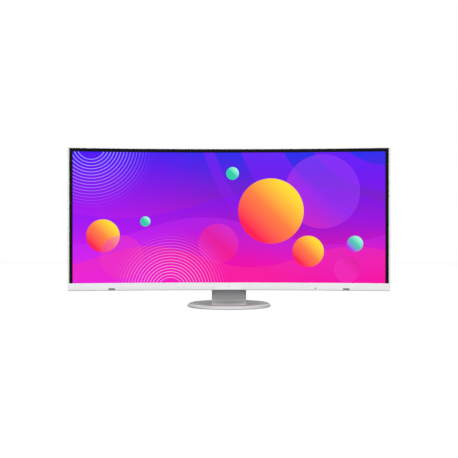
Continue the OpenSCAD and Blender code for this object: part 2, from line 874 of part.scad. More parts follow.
// The bracket that screws the socket shells to the pocket ceiling, above it
module socket_bracket() {
    z0 = z_pocket + wall + slip;
    reach = pocket_from + pocket_w - 6;
    color(c_steel) for (side = [-1, 1]) difference() {
        span(side > 0 ? [pocket_from + 2, y_pocket + 2, z0] : [-reach, y_pocket + 2, z0],
            side > 0 ? [reach, y_hump - wall - 3, z0 + 1] : [-pocket_from - 2, y_hump - wall - 3, z0 + 1]);
        for (s = socket_holes)
            span([s[0] - s[1] / 2 - slip, y_sockets - s[2] / 2 - slip, z0 - 1],
                [s[0] + s[1] / 2 + slip, y_sockets + s[2] / 2 + slip, z0 + 3]);
    }
}

// The frame of the mains switch, set in the pocket's ceiling
module rocker_frame() {
    w = rocker_size[0];
    d = rocker_size[1];
    color("#1d1d20") difference() {
        union() {
            span([rocker_x - w / 2, y_sockets - d / 2, z_pocket - rocker_frame_t],
                [rocker_x + w / 2, y_sockets + d / 2, z_pocket]);
            span([rocker_x - w / 2 + 1, y_sockets - d / 2 + 1, z_pocket],
                [rocker_x + w / 2 - 1, y_sockets + d / 2 - 1, z_pocket + 14]);
        }
        span([rocker_x - w / 2 + rocker_rim, y_sockets - d / 2 + rocker_rim, z_pocket - 4],
            [rocker_x + w / 2 - rocker_rim, y_sockets + d / 2 - rocker_rim, z_pocket + 12]);
        rod_y([rocker_x, y_sockets - d / 2 + 1 - 0.5, rocker_axis_z], 2.1, d - 1);
    }
}

// The rocker turns about a line along Y, between its two dished halves
module power_rocker() {
    w = rocker_size[0] - 2 * rocker_rim - 2.4;
    d = rocker_size[1] - 2 * rocker_rim - 0.8;
    color("#2c2c30") translate([rocker_x, y_sockets, rocker_axis_z]) {
        rotate([90, 0, 0]) linear_extrude(d, center = true) polygon([
            [-w / 2, -7], [0, -5.2], [w / 2, -7], [w / 2 - 1.2, 1.5], [3, 4], [-3, 4], [-w / 2 + 1.2, 1.5]
        ]);
        rotate([90, 0, 0]) cylinder(d = 2, h = d + 2.8, center = true);
    }
}

// ---------- quick release and tilt hinge ----------

// The stand's plate on the cabinet: hooks at its top, a latch at its bottom and two ears for the shaft
module release_plate() {
    h = release_plate_size / 2;
    y_hook = y_release - mount_plate_t;
    color(c_grey) difference() {
        union() {
            span([-h, y_release + slip, z_axis - h], [h, y_release_back, z_axis + h]);
            for (x = [-1, 1]) {
                span([x * hook_x - hook_w / 2, y_hook - 2.4, z_axis + 30.4],
                    [x * hook_x + hook_w / 2, y_release + 1, z_axis + 33.5]);
                span([x * hook_x - hook_w / 2, y_hook - 2.4, z_axis + 30.4],
                    [x * hook_x + hook_w / 2, y_hook - 0.3, z_axis + 38.5]);
                release_ear(x * release_ear_x);
            }
        }
        rod_x(0, z_axis, shaft_d + 2 * shaft_fit, 2 * release_ear_x + 20);
        span([-latch_w / 2 - 0.2, y_release - 1, z_axis - 36], [latch_w / 2 + 0.2, y_release_back + 1, z_axis - 27]);
    }
}

module release_ear(x) {
    translate([x, 0, 0]) {
        along_x(ear_t) translate([y_release_back - 1, z_axis - release_ear_r])
            square([-y_release_back + 1, 2 * release_ear_r]);
        rod_x(0, z_axis, 2 * release_ear_r, ear_t);
    }
}

// The latch that the button drives: a link over the plate and a stem through it to a hook behind
module release_latch() {
    y0 = y_release - mount_plate_t - 3;
    y1 = y_release_back + slip;
    color(c_steel) {
        span([-latch_w / 2, y0, z_axis - 38.5], [latch_w / 2, y0 + 2, z_axis - 30.4]);
        span([-latch_w / 2, y0, z_axis - 33.5], [latch_w / 2, y1 + 0.5, z_axis - 30.4]);
        span([-latch_w / 2, y1, z_axis - release_plate_size / 2 - button_gap], [latch_w / 2, y1 + 1.4, z_axis - 30.4]);
    }
}

// The button below the plate, pressed upwards to free the stand
module release_button() {
    z1 = z_axis - release_plate_size / 2 - button_gap;
    color("#6f7376") span([-9, y_release + slip, z1 - 6], [9, y_release_back + 2, z1]);
}

module tilt_shaft() {
    color(c_steel) {
        rod_x(0, z_axis, shaft_d, shaft_l);
    }
}

// Friction discs between the ears
module tilt_washers() {
    gap = bracket_ear_x - release_ear_x - ear_t;
    count = floor(gap / washer_t);
    pitch = gap / count;
    color("#b98f55") for (side = [-1, 1], i = [0 : count - 1]) difference() {
        rod_x(0, z_axis, washer_d, pitch - slip, side * (release_ear_x + ear_t / 2 + (i + 0.5) * pitch));
        rod_x(0, z_axis, shaft_d + 2 * shaft_fit, 2 * shaft_l);
    }
}

// Hexagon nuts at both ends of the shaft
module tilt_nuts() {
    x0 = bracket_ear_x + ear_t / 2 + slip;
    color(c_silver) for (side = [-1, 1]) difference() {
        translate([side * (x0 + nut_t / 2), 0, z_axis]) rotate([0, 90, 0]) cylinder(d = nut_d, h = nut_t, center = true, $fn = 6);
        rod_x(0, z_axis, shaft_d + 2 * shaft_fit, 2 * shaft_l);
    }
}

// Steel bracket on the mast, with the outer ears
module hinge_bracket() {
    y0 = mast_front - bracket_t;
    color(c_steel) difference() {
        union() {
            span([-bracket_w / 2, y0, z_axis - bracket_h / 2], [bracket_w / 2, mast_front, z_axis + bracket_h / 2]);
            span([-bracket_w / 2 + bracket_window, mast_front, z_axis - bracket_h / 2 + bracket_window],
                [bracket_w / 2 - bracket_window, mast_front + mast_wall + slip, z_axis + bracket_h / 2 - bracket_window]);
            for (x = [-1, 1]) translate([x * bracket_ear_x, 0, 0]) {
                along_x(ear_t) translate([0, z_axis - ear_r]) square([y0 + 1, 2 * ear_r]);
                rod_x(0, z_axis, 2 * ear_r, ear_t);
            }
        }
        rod_x(0, z_axis, shaft_d + 2 * shaft_fit, 2 * bracket_ear_x + 20);
        for (p = mast_screw_at) rod_y([p[0], y0 - 1, p[1]], 4.4, bracket_t + mast_wall + 4);
    }
}

// ---------- mast ----------

module mast_outline(t) {
    round_rect([-mast_w / 2 + t, mast_front + t], [mast_w - 2 * t, mast_d + (t > 0 ? 10 : 0)], mast_edge_r - t / 2);
}

module mast_cover() {
    color(c_grey) difference() {
        intersection() {
            translate([0, 0, mast_z]) linear_extrude(mast_l) mast_outline(0);
            span([-mast_w, mast_front - 5, 0], [mast_w, mast_from, 2 * z_top]);
        }
        translate([0, 0, mast_z + mast_wall]) linear_extrude(mast_l - 2 * mast_wall) mast_outline(mast_wall);
        span([-bracket_w / 2 + bracket_window - slip, mast_front - 1, z_axis - bracket_h / 2 + bracket_window - slip],
            [bracket_w / 2 - bracket_window + slip, mast_front + mast_wall + 1, z_axis + bracket_h / 2 - bracket_window + slip]);
    }
}

// Folded steel channel inside the mast's cover, with the plate that carries the slide blocks
module mast_frame() {
    hw = mast_w / 2 - mast_wall - mast_edge_r + 1.5;
    y0 = mast_front + mast_wall + 2 * slip;
    z0 = mast_z + mast_wall + slip;
    z1 = mast_z + mast_l - mast_wall - slip;
    zc = mast_z + carriage_low;
    color(c_steel) difference() {
        union() {
            span([-hw, y0, z0], [hw, y0 + mast_frame_t, z1]);
            for (x = [-hw, hw - mast_frame_t]) span([x, y0, z0], [x + mast_frame_t, mast_from, z1]);
            span([-hw, mast_from - carriage_t, zc], [hw, mast_from, zc + carriage_h]);
        }
        for (p = mast_screw_at) rod_y([p[0], y0 - 1, p[1]], 3.4, mast_frame_t + 2);
    }
}

// Slide blocks that grip the rails
module carriage_blocks() {
    zc = mast_z + carriage_low;
    y1 = y_frame - 0.6;
    color("#dcdcd4") for (x = [-1, 1]) difference() {
        span([x * rail_x - block_w / 2, mast_from, zc], [x * rail_x + block_w / 2, y1, zc + carriage_h]);
        span([x * rail_x - rail_size[0] / 2 - fit, y_frame - rail_size[1] - fit, zc - 1],
            [x * rail_x + rail_size[0] / 2 + fit, y_frame + 1, zc + carriage_h + 1]);
    }
}

module mast_screws() {
    y0 = mast_front - bracket_t;
    color(c_silver) for (p = mast_screw_at) difference() {
        union() {
            rod_y([p[0], y0 - 1.6, p[1]], 7.4, 1.6);
            rod_y([p[0], y0 - 1, p[1]], 3.2, bracket_t + mast_wall + mast_frame_t + 2.4);
        }
        translate([p[0], y0 - 2.6, p[1]]) rotate([-90, 0, 0]) cylinder(d = 3.4, h = 2, $fn = 6);
    }
}

// ---------- lift springs ----------

// Flat spring strips from the coils down to the carriage plate
module lift_spring_strips() {
    zc = mast_z + carriage_low;
    color("#c2c6ca") for (x = [-coil_x, coil_x]) {
        span([x - coil_w / 2 + 1, y_strip - strip_t, zc + 1], [x + coil_w / 2 - 1, y_strip, z_coil]);
        span([x - coil_w / 2 + 1, mast_from + slip, zc + 1], [x + coil_w / 2 - 1, y_strip, zc + 5]);
    }
}

module lift_spring_coils() {
    y0 = y_strip + coil_r;
    color("#c2c6ca") for (x = [-coil_x, coil_x]) difference() {
        rod_x(y0, z_coil, 2 * coil_r, coil_w, x);
        rod_x(y0, z_coil, 2 * coil_hub_r + slip, coil_w + 2, x);
    }
}

// ---------- column ----------

module column_outline(t) {
    round_rect([-column_w / 2 + t, column_from + t], [column_w - 2 * t, column_d - 2 * t], column_edge_r - t);
}

module column_tube(z0, z1) {
    translate([0, 0, z0]) linear_extrude(z1 - z0) difference() {
        column_outline(0);
        column_outline(column_wall);
    }
}

module column_front_cover() {
    z1 = column_top - column_wall;
    color(c_grey) difference() {
        intersection() {
            column_tube(base_h, z1);
            span([-column_w, 0, 0], [column_w, column_split, column_top]);
        }
        span([-channel_w / 2, column_from - 5, z_channel], [channel_w / 2, column_from + column_wall + 1, column_top]);
    }
}

module column_rear_cover() {
    z1 = column_top - column_wall;
    color(c_grey) difference() {
        intersection() {
            column_tube(base_h, z1);
            span([-column_w, column_split, 0], [column_w, column_back + 5, column_top]);
        }
        for (x = [-1, 1]) rod_y([x * holder_screw_x, column_back - column_wall - 1, holder_z], screw_d + 0.4, column_wall + 3);
    }
}

module column_cap() {
    color(c_grey) difference() {
        translate([0, 0, column_top - column_wall]) linear_extrude(column_wall) column_outline(0);
        span([-channel_w / 2, column_from - 5, column_top - 10], [channel_w / 2, y_frame, column_top + 5]);
    }
}

// Folded steel channel that carries the rails and the spring pin, with a flange on the base's weight
module column_frame() {
    z1 = column_top - column_wall - fit;
    hw = frame_w / 2;
    y1 = column_back - column_wall - 2;
    yc = y_strip + coil_r;
    side_from = coil_x + coil_w / 2 + 1;
    color(c_steel) difference() {
        union() {
            span([-hw, y_frame, weight_top], [hw, y_frame + frame_plate_t, z1]);
            for (x = [-hw, hw - frame_plate_t]) span([x, y_frame, weight_top], [x + frame_plate_t, y1, z1]);
            span([-hw, y_frame, weight_top], [hw, y1, weight_top + flange_t]);
            for (x = [-side_from - 2, side_from]) span([x, y_frame, z_coil - 9], [x + 2, yc + 5, z_coil + 8]);
            rod_x(yc, z_coil, 2 * coil_hub_r, 2 * side_from + 2);
        }
        difference() {
            span([-side_from, y_frame - 1, z_coil - coil_r - 4], [side_from, y_frame + frame_plate_t + 0.01, z1 + 1]);
            rod_x(yc, z_coil, 2 * coil_hub_r, 2 * side_from);
        }
    }
}

module guide_rails() {
    color(c_silver) for (x = [-1, 1])
        span([x * rail_x - rail_size[0] / 2, y_frame - rail_size[1], z_channel + 1],
            [x * rail_x + rail_size[0] / 2, y_frame, z_rail_top]);
}

// Clip at the back of the column that leads the cables: a loop with a split front
module cable_holder() {
    z0 = holder_z - holder_h / 2;
    w = holder_w;
    d = holder_d;
    t = holder_t;
    r = column_edge_r;
    color("#8c9093") difference() {
        translate([0, 0, z0]) linear_extrude(holder_h) difference() {
            union() {
                round_rect([-w / 2, column_back], [w, d], r);
                translate([-w / 2, column_back]) square([w, r]);
            }
            round_rect([-w / 2 + t, column_back + t], [w - 2 * t, d - 2 * t], r - t);
        }
        span([-5, column_back + d - t - 1, z0 - 1], [5, column_back + d + 1, z0 + holder_h + 1]);
        for (x = [-1, 1]) rod_y([x * holder_screw_x, column_back - 1, holder_z], screw_d + 0.4, t + 2);
    }
}

module holder_screws() {
    color(c_silver) for (x = [-1, 1]) {
        rod_y([x * holder_screw_x, column_back + holder_t, holder_z], 6.4, 1.8);
        rod_y([x * holder_screw_x, column_back - column_wall - 3, holder_z], screw_d, holder_t + column_wall + 3.5);
    }
}

// The cover that sweeps from the column's front into a thin foot along the base
module foot_cover() {
    r = foot_sweep_r;
    y0 = column_from;
    top = base_h + foot_t;
    rt = base_top_d / 2;
    color(c_grey) intersection() {
        along_x(column_w + 10) polygon(concat(
            [[-rt, base_h], [y0, base_h]],
            [for (a = [0 : 6 : 90]) [y0 - r + r * cos(a), top + r - r * sin(a)]],
            [[-rt, top]]
        ));
        linear_extrude(top + r + 10) polygon([
            [-foot_w / 2, -rt], [foot_w / 2, -rt], [column_w / 2, y0], [-column_w / 2, y0]
        ]);
        union() {
            translate([0, 0, base_h - 0.01]) cylinder(r1 = rt - 2, r2 = rt - 3, h = foot_t + 0.02, $fn = 128);
            span([-column_w, 0, base_h], [column_w, y0, top + r + 1]);
        }
    }
}

// ---------- base ----------

// Half the base cover's section, as radius and height, with its edge rounded off in a long curve
module base_section() {
    r = base_d / 2;
    rt = base_top_d / 2;
    rise = base_h - base_lip_h;
    polygon(concat(
        [[0, base_h]],
        [for (a = [0 : 15 : 90]) [rt + bevel_w * sin(a), base_lip_h + rise * cos(a)]],
        [[r - rim_turn_in, base_bottom], [r - rim_turn_in - base_wall, base_bottom]],
        [for (a = [90 : -15 : 0]) [rt + (bevel_w - base_wall) * sin(a), base_lip_h + (rise - base_wall) * cos(a)]],
        [[0, base_h - base_wall]]
    ));
}

module base_cover() {
    color(c_silver) difference() {
        rotate_extrude($fn = 128) base_section();
        span([-frame_w / 2 - fit, y_frame - fit, 0],
            [frame_w / 2 + fit, column_back - column_wall - 2 + fit, base_h + 5]);
    }
}

module base_weight() {
    color(c_steel) difference() {
        translate([0, 0, weight_from]) cylinder(d = weight_d, h = weight_top - weight_from);
        translate([0, 0, weight_from - 1]) cylinder(d = pivot_d + 2 * shaft_fit, h = 20);
        translate([0, 0, weight_top - pivot_head_t - slip]) cylinder(d = pivot_head_d + 1, h = 20);
    }
}

module glide_ring() {
    color("#e6e2d2") translate([0, 0, plate_top]) difference() {
        cylinder(d = glide_d, h = glide_t);
        translate([0, 0, -1]) cylinder(d = glide_d - 2 * glide_w, h = glide_t + 2);
    }
}

// Steel plate that stays still on the desk, with the riveted pivot in its middle
module turntable_plate() {
    color(c_steel) {
        translate([0, 0, foot_h]) cylinder(d = turntable_d, h = turntable_t);
        translate([0, 0, plate_top]) cylinder(d = pivot_d, h = weight_top - slip - plate_top);
        translate([0, 0, weight_top - pivot_head_t + slip]) cylinder(d = pivot_head_d, h = pivot_head_t - 2 * slip);
    }
}

module rubber_feet() {
    color("#3b3b3e") for (i = [0 : foot_count - 1]) rotate([0, 0, (i + 0.5) * 360 / foot_count])
        translate([foot_ring_d / 2, 0, 0]) cylinder(d = foot_d, h = foot_h);
}

// ---------- nodes ----------

lcd_panel();
panel_frame();
optical_films();
light_guide();
reflector_sheet();
led_bar();
mid_frame();
panel_chassis();
front_bezel();
speaker_grilles();
speakers();
touch_key_board();
light_sensor_lens();
power_lamp_lens();
presence_sensor_lens();
rear_cabinet();
cabinet_screws();
electronics_tray();
mounting_plate();
main_board();
power_board();
board_parts();
display_ribbon();
socket_bracket();
hdmi_sockets();
displayport_socket();
usb_c_socket();
network_socket();
usb_a_sockets();
headphone_socket();
mains_inlet();
inlet_pins();
rocker_frame();
power_rocker();
release_plate();
release_button();
release_latch();
tilt_shaft();
tilt_washers();
tilt_nuts();
hinge_bracket();
mast_cover();
mast_frame();
carriage_blocks();
mast_screws();
lift_spring_strips();
lift_spring_coils();
guide_rails();
column_frame();
column_front_cover();
column_rear_cover();
column_cap();
cable_holder();
holder_screws();
foot_cover();
base_cover();
base_weight();
glide_ring();
turntable_plate();
rubber_feet();
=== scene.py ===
"""Finishes, fine pieces, studio and camera for a curved ultrawide monitor on a moving stand."""
from __future__ import annotations

import json
import logging
import math
from dataclasses import dataclass
from enum import Enum
from functools import cached_property
from typing import Callable, Protocol, Sequence, Union

import bmesh
import bpy
from mathutils import Matrix, Vector

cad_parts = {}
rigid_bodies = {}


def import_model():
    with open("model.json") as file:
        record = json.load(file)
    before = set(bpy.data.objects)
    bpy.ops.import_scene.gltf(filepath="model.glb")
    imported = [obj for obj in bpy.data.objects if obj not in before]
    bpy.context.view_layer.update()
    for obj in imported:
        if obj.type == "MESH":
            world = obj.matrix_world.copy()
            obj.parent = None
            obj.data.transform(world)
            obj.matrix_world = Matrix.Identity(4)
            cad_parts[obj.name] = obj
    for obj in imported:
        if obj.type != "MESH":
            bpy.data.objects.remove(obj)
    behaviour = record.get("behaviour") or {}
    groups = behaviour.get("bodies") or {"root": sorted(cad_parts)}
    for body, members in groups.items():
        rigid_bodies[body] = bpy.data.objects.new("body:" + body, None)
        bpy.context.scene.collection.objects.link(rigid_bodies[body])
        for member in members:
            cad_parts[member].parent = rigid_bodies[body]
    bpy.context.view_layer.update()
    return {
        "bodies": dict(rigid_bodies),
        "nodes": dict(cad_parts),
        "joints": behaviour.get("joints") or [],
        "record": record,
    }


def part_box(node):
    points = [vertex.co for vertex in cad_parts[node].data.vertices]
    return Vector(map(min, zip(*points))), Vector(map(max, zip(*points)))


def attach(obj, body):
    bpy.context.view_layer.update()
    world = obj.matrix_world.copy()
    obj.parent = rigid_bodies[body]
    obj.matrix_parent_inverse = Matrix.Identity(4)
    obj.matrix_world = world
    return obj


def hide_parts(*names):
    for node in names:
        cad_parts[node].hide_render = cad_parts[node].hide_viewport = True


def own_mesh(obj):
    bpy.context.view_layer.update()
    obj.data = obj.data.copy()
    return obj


LOG = logging.getLogger("monitor")
MM = 0.001
TURN = 2.0 * math.pi
Colour = tuple[float, float, float]
Point = tuple[float, float, float]
Spot = tuple[float, float]
Socket = bpy.types.NodeSocket
Value = Union[Socket, float, Colour]
WHITE = (1.0, 1.0, 1.0)
EVEN = (1.0, 1.0, 1.0)
FLAKE_GREY = (0.2, 0.2, 0.2)
MIX_FIRST, MIX_SECOND, MIX_RESULT = 6, 7, 2
PIECE_SMOOTH = math.radians(32.0)
NODE_SMOOTH = math.radians(30.0)
FLAT_ANGLE = math.radians(0.6)
SHARP_ANGLE = math.radians(32.0)
WELD = 2e-6
SEAM_WELD = 1e-7
EVEN_WEIGHT = 80
ROUNDED = {"segments": 2, "profile": 0.5, "affect": "EDGES", "material": -1}


class Axis(Enum):
    """The frame's axes, as the direction that a spin or a brushed grain runs along."""

    X = (1.0, 0.0, 0.0)
    Y = (0.0, 1.0, 0.0)
    Z = (0.0, 0.0, 1.0)


class Body(Enum):
    """The rigid bodies of the monitor, by the names that the frame uses."""

    TURNTABLE = "turntable"
    STAND = "stand"
    MAST = "mast"
    HEAD = "head"
    RELEASE = "release"
    SWITCH = "switch"


def srgb(red: int, green: int, blue: int) -> Colour:
    """Turns a screen colour into scene-linear light.

    Args:
        red: Red from 0 to 255.
        green: Green from 0 to 255.
        blue: Blue from 0 to 255.

    Returns:
        The colour as three linear values.
    """

    def one(value: int) -> float:
        """Undoes the display curve for one channel."""
        share = value / 255.0
        return share / 12.92 if share <= 0.04045 else ((share + 0.055) / 1.055) ** 2.4

    return (one(red), one(green), one(blue))


def shade(colour: Colour, factor: float) -> Colour:
    """Gives a colour darkened or lightened by a factor, held at 1."""
    return tuple(min(1.0, channel * factor) for channel in colour)


def smooth(data: bpy.types.Mesh, angle: float) -> None:
    """Shades a mesh smooth, up to an angle."""
    data.polygons.foreach_set("use_smooth", [True] * len(data.polygons))
    data.set_sharp_from_angle(angle=angle)


def enter(name: str, data: bpy.types.ID) -> bpy.types.Object:
    """Puts a new object in the scene.

    Args:
        name: The object's name.
        data: Its mesh, lamp or camera.

    Returns:
        The object.
    """
    made = bpy.data.objects.new(name, data)
    bpy.context.scene.collection.objects.link(made)
    return made


class Nodes:
    """A small writer of shader nodes for one material or for the sky."""

    def __init__(
        self, owner: bpy.types.ID, output: str = "OutputMaterial", place: str = "Object",
    ) -> None:
        """Empties the owner's node tree and gives it an output.

        Args:
            owner: The material or the world.
            output: The kind of its output node.
            place: The texture coordinates that are its place.
        """
        owner.use_nodes = True
        self.owner = owner
        self.tree = owner.node_tree
        self.tree.nodes.clear()
        self.output = self.add(output)
        self.place = self.add("TexCoord").outputs[place]

    def add(self, kind: str, **settings: object) -> bpy.types.Node:
        """Adds a node with its settings.

        Args:
            kind: The node's kind without its ShaderNode prefix, such as TexNoise.
            settings: Attributes to set on the node.

        Returns:
            The new node.
        """
        node = self.tree.nodes.new("ShaderNode" + kind)
        for key, value in settings.items():
            setattr(node, key, value)
        return node

    def feed(self, socket: Socket, value: Value) -> None:
        """Links an input, or sets it to a plain value.

        Args:
            socket: The input socket.
            value: Another socket, a number or a colour.
        """
        if isinstance(value, bpy.types.NodeSocket):
            self.tree.links.new(value, socket)
        elif isinstance(value, tuple) and socket.type == "RGBA":
            socket.default_value = (*value, 1.0)
        else:
            socket.default_value = value

    def put(
        self, kind: str, inputs: dict[str | int, Value], **settings: object,
    ) -> bpy.types.Node:
        """Adds a node with its settings and its inputs.

        Args:
            kind: The node's kind.
            inputs: What feeds each input, by its name or its number.
            settings: Attributes to set on the node.

        Returns:
            The new node.
        """
        node = self.add(kind, **settings)
        for key, value in inputs.items():
            self.feed(node.inputs[key], value)
        return node

    def end(self, shader: bpy.types.Node) -> None:
        """Makes a shader the tree's surface."""
        self.feed(self.output.inputs["Surface"], shader.outputs[0])

    def math(self, operation: str, *values: Value) -> Socket:
        """Works out one number from up to three, by an operation such as MULTIPLY."""
        return self.put("Math", dict(enumerate(values)), operation=operation).outputs[0]

    def times(self, first: Value, *others: Value) -> Socket:
        """Multiplies numbers.

        Args:
            first: A number or its socket.
            others: What it is multiplied by.

        Returns:
            The product's socket.
        """
        for other in others:
            first = self.math("MULTIPLY", first, other)
        return first

    def wave(self, value: Value, pitch: float) -> Socket:
        """Gives the sine of a number, with one turn each pitch."""
        return self.math("SINE", self.times(value, TURN / pitch))

    def length(self, first: Value, second: Value) -> Socket:
        """Gives the length of two parts at a right angle."""
        squares = self.math("ADD", self.times(first, first), self.times(second, second))
        return self.math("SQRT", squares)

    @cached_property
    def axes(self) -> tuple[Socket, Socket, Socket]:
        """The place's X, Y and Z sockets, split once."""
        return tuple(self.put("SeparateXYZ", {0: self.place}).outputs)

    def step(
        self, value: Value, low: float, high: float,
        smooth: bool = True, least: float = 0.0, most: float = 1.0,
    ) -> Socket:
        """Turns a range of a number into a share, held at both ends.

        Args:
            value: The number's socket.
            low: What becomes the least.
            high: What becomes the most.
            smooth: Whether the ends are eased.
            least: The share at the low end.
            most: The share at the high end.

        Returns:
            The share's socket.
        """
        ranges = {"Value": value, "From Min": low, "From Max": high, "To Min": least, "To Max": most}
        kind = "SMOOTHSTEP" if smooth else "LINEAR"
        return self.put("MapRange", ranges, interpolation_type=kind).outputs["Result"]

    def mix(self, share: Value, first: Value, second: Value) -> Socket:
        """Mixes a share of the second colour into the first."""
        inputs = {"Factor": share, MIX_FIRST: first, MIX_SECOND: second}
        return self.put("Mix", inputs, data_type="RGBA").outputs[MIX_RESULT]

    def noise(
        self, size: float, detail: float = 2.0, roughness: float = 0.5, stretch: Point = EVEN,
    ) -> Socket:
        """Gives a soft noise from 0 to 1.

        Args:
            size: The size of its features in metres.
            detail: How many octaves it has.
            roughness: How strong the finer octaves are.
            stretch: A factor on the place for each axis.

        Returns:
            The noise's socket.
        """
        place = self.place
        if stretch != EVEN:
            place = self.put("Mapping", {"Scale": stretch, "Vector": place}).outputs["Vector"]
        inputs = {"Scale": 1.0 / size, "Detail": detail, "Roughness": roughness, "Vector": place}
        return self.put("TexNoise", inputs).outputs[0]

    def about(self, share: Socket, spread: float, centre: float) -> Socket:
        """Spreads a share evenly about a value."""
        return self.math("MULTIPLY_ADD", share, spread, centre - spread / 2)

    def uneven(self, size: float, spread: float, centre: float) -> Socket:
        """Gives a number that wanders softly about a value, in patches of a size."""
        return self.about(self.noise(size), spread, centre)

    def cells(self, size: float, output: str = "Distance") -> Socket:
        """Scatters points of a spacing, and gives each spot's distance or colour by its nearest."""
        return self.put("TexVoronoi", {"Scale": 1.0 / size, "Vector": self.place}).outputs[output]

    def dots(self, pitch: float) -> Socket:
        """Gives a regular field of soft dots across X and Z."""
        return self.times(self.wave(self.axes[0], pitch), self.wave(self.axes[2], pitch))

    def bump(self, height: Value, depth: float, strength: float = 1.0) -> Socket:
        """Turns a height from 0 to 1 into a normal, by its depth in metres."""
        inputs = {"Height": height, "Distance": depth, "Strength": strength}
        return self.put("Bump", inputs).outputs["Normal"]

    def seen(self, *rays: str) -> Socket:
        """Gives 1 to the camera's rays and to rays of other kinds, and 0 to the rest.

        Args:
            rays: The other kinds, such as Glossy.

        Returns:
            The share's socket.
        """
        kinds = self.add("LightPath").outputs
        share = kinds["Is Camera Ray"]
        for ray in rays:
            share = self.math("MAXIMUM", share, kinds[f"Is {ray} Ray"])
        return share

    def surface(self, **values: Value) -> bpy.types.Material:
        """Ends the material with one principled surface.

        Args:
            values: Its sockets by name, with _ for a space.

        Returns:
            The material.
        """
        named = {key.replace("_", " "): value for key, value in values.items()}
        self.end(self.put("BsdfPrincipled", named))
        return self.owner


class Finish(Protocol):
    """What every finish has: a name, and a way to make its material."""

    name: str

    def build(self) -> bpy.types.Material:
        """Makes the material."""


def writer(name: str) -> Nodes:
    """Starts a new material of that name."""
    return Nodes(bpy.data.materials.new(name))


@dataclass(frozen=True)
class MouldedPlastic:
    """Injection moulded plastic with a spark-eroded grain and a faint unevenness of tone."""

    name: str
    colour: Colour
    roughness: float = 0.48
    grain: float = 0.55 * MM
    depth: float = 0.012 * MM
    tone: float = 0.012
    gloss: float = 0.4
    patch: float = 60.0 * MM
    smear: float = 20.0 * MM
    spread: float = 0.1
    heights: Spot = (0.7, 0.5)

    def paint(self, n: Nodes) -> Socket:
        """Gives the surface's colour."""
        patches = n.step(n.noise(self.patch, detail=3.0), low=0.3, high=0.7)
        return n.mix(patches, shade(self.colour, 1.0 - self.tone), shade(self.colour, 1.0 + self.tone))

    def build(self) -> bpy.types.Material:
        """Makes the material.

        Returns:
            The material.
        """
        n = writer(self.name)
        grain = n.times(n.noise(self.grain, roughness=0.6), self.heights[0])
        pits = n.times(n.cells(self.grain * 1.6), self.heights[1])
        return n.surface(
            Base_Color=self.paint(n),
            Roughness=n.uneven(self.smear, self.spread, self.roughness),
            Specular_IOR_Level=self.gloss,
            Normal=n.bump(n.math("ADD", grain, pits), self.depth),
        )


@dataclass(frozen=True)
class PaintedShadeLipPlastic(MouldedPlastic):
    """Moulded plastic whose lower lip is painted a darker grey: painted shade, where the underside falls
    into shade.
    """

    # lip: the darker grey painted on the lower lip as painted shade.
    lip: Colour = (0.42, 0.42, 0.43)
    painted_shade_top: float = 0.0
    blur: float = 0.1 * MM

    def paint(self, n: Nodes) -> Socket:
        """Gives the surface's colour, with the painted shade on the lip under it."""
        # Below the lip's top the white turns to the lip's grey: painted shade.
        painted_shade = n.step(n.axes[2], self.painted_shade_top + self.blur, self.painted_shade_top - self.blur)
        return n.mix(painted_shade, super().paint(n), self.lip)


@dataclass(frozen=True)
class SatinPaint:
    """Sprayed satin paint with fine metal flake and a slight orange peel."""

    name: str
    colour: Colour
    metal: float = 0.08
    roughness: float = 0.55
    gloss: float = 0.3
    flake: float = 0.35 * MM
    peel: float = 2.2 * MM
    depth: float = 0.01 * MM
    tones: Spot = (1.07, 0.95)
    smear: float = 30.0 * MM
    spread: float = 0.08

    def flakes(self, n: Nodes) -> Socket:
        """Gives how far each spot is from its flake."""
        return n.step(n.cells(self.flake), low=0.1, high=0.55)

    def paint(self, n: Nodes) -> Socket:
        """Gives the surface's colour."""
        return n.mix(self.flakes(n), *(shade(self.colour, tone) for tone in self.tones))

    def relief(self, n: Nodes) -> Socket:
        """Gives the orange peel's height."""
        return n.noise(self.peel, detail=1.0)

    def build(self) -> bpy.types.Material:
        """Makes the material.

        Returns:
            The material.
        """
        n = writer(self.name)
        return n.surface(
            Base_Color=self.paint(n),
            Metallic=self.metal,
            Roughness=n.uneven(self.smear, self.spread, self.roughness),
            Specular_IOR_Level=self.gloss,
            Normal=n.bump(self.relief(n), self.depth, strength=0.6),
        )


@dataclass(frozen=True)
class StandPaint(SatinPaint):
    """Paint whose colour changes across one piece to paint light and shade into it, under the same thin
    glitter.
    """

    metal: float = 0.05
    roughness: float = 0.58
    gloss: float = 0.2
    glitter: float = 0.1

    def painted_light_and_shade(self, n: Nodes) -> Socket:
        """Gives the colour with its painted light and shade, without its glitter."""
        raise NotImplementedError

    def paint(self, n: Nodes) -> Socket:
        """Gives the surface's colour."""
        return n.mix(n.times(self.flakes(n), self.glitter), self.painted_light_and_shade(n), FLAKE_GREY)


@dataclass(frozen=True)
class BasePaint(StandPaint):
    """The base's paint: a darker grey on its flat top, which is painted shade, and a brighter, finer
    silver on the rounded ring, which is painted light.
    """

    # ring: the brighter silver of the ring, painted light.
    ring: Colour = WHITE
    ring_from: float = 0.0
    blur: float = 0.3 * MM
    tool_pitch: float = 0.5 * MM
    tool_mark: float = 0.06

    def parts(self, n: Nodes) -> tuple[Socket, Socket]:
        """Gives the distance from the base's middle, and how much a spot lies on the ring."""
        radius = n.length(n.axes[0], n.axes[1])
        return radius, n.step(radius, self.ring_from - self.blur, self.ring_from + self.blur)

    def painted_light_and_shade(self, n: Nodes) -> Socket:
        """Gives the top's painted shade and the ring's painted light."""
        return n.mix(self.parts(n)[1], self.colour, self.ring)

    def relief(self, n: Nodes) -> Socket:
        """Gives the orange peel, with the fine turned marks of the ring.

        Args:
            n: The material's writer.

        Returns:
            The height's socket.
        """
        radius, on_ring = self.parts(n)
        marks = n.times(n.wave(radius, self.tool_pitch), self.tool_mark, on_ring)
        return n.math("ADD", super().relief(n), marks)


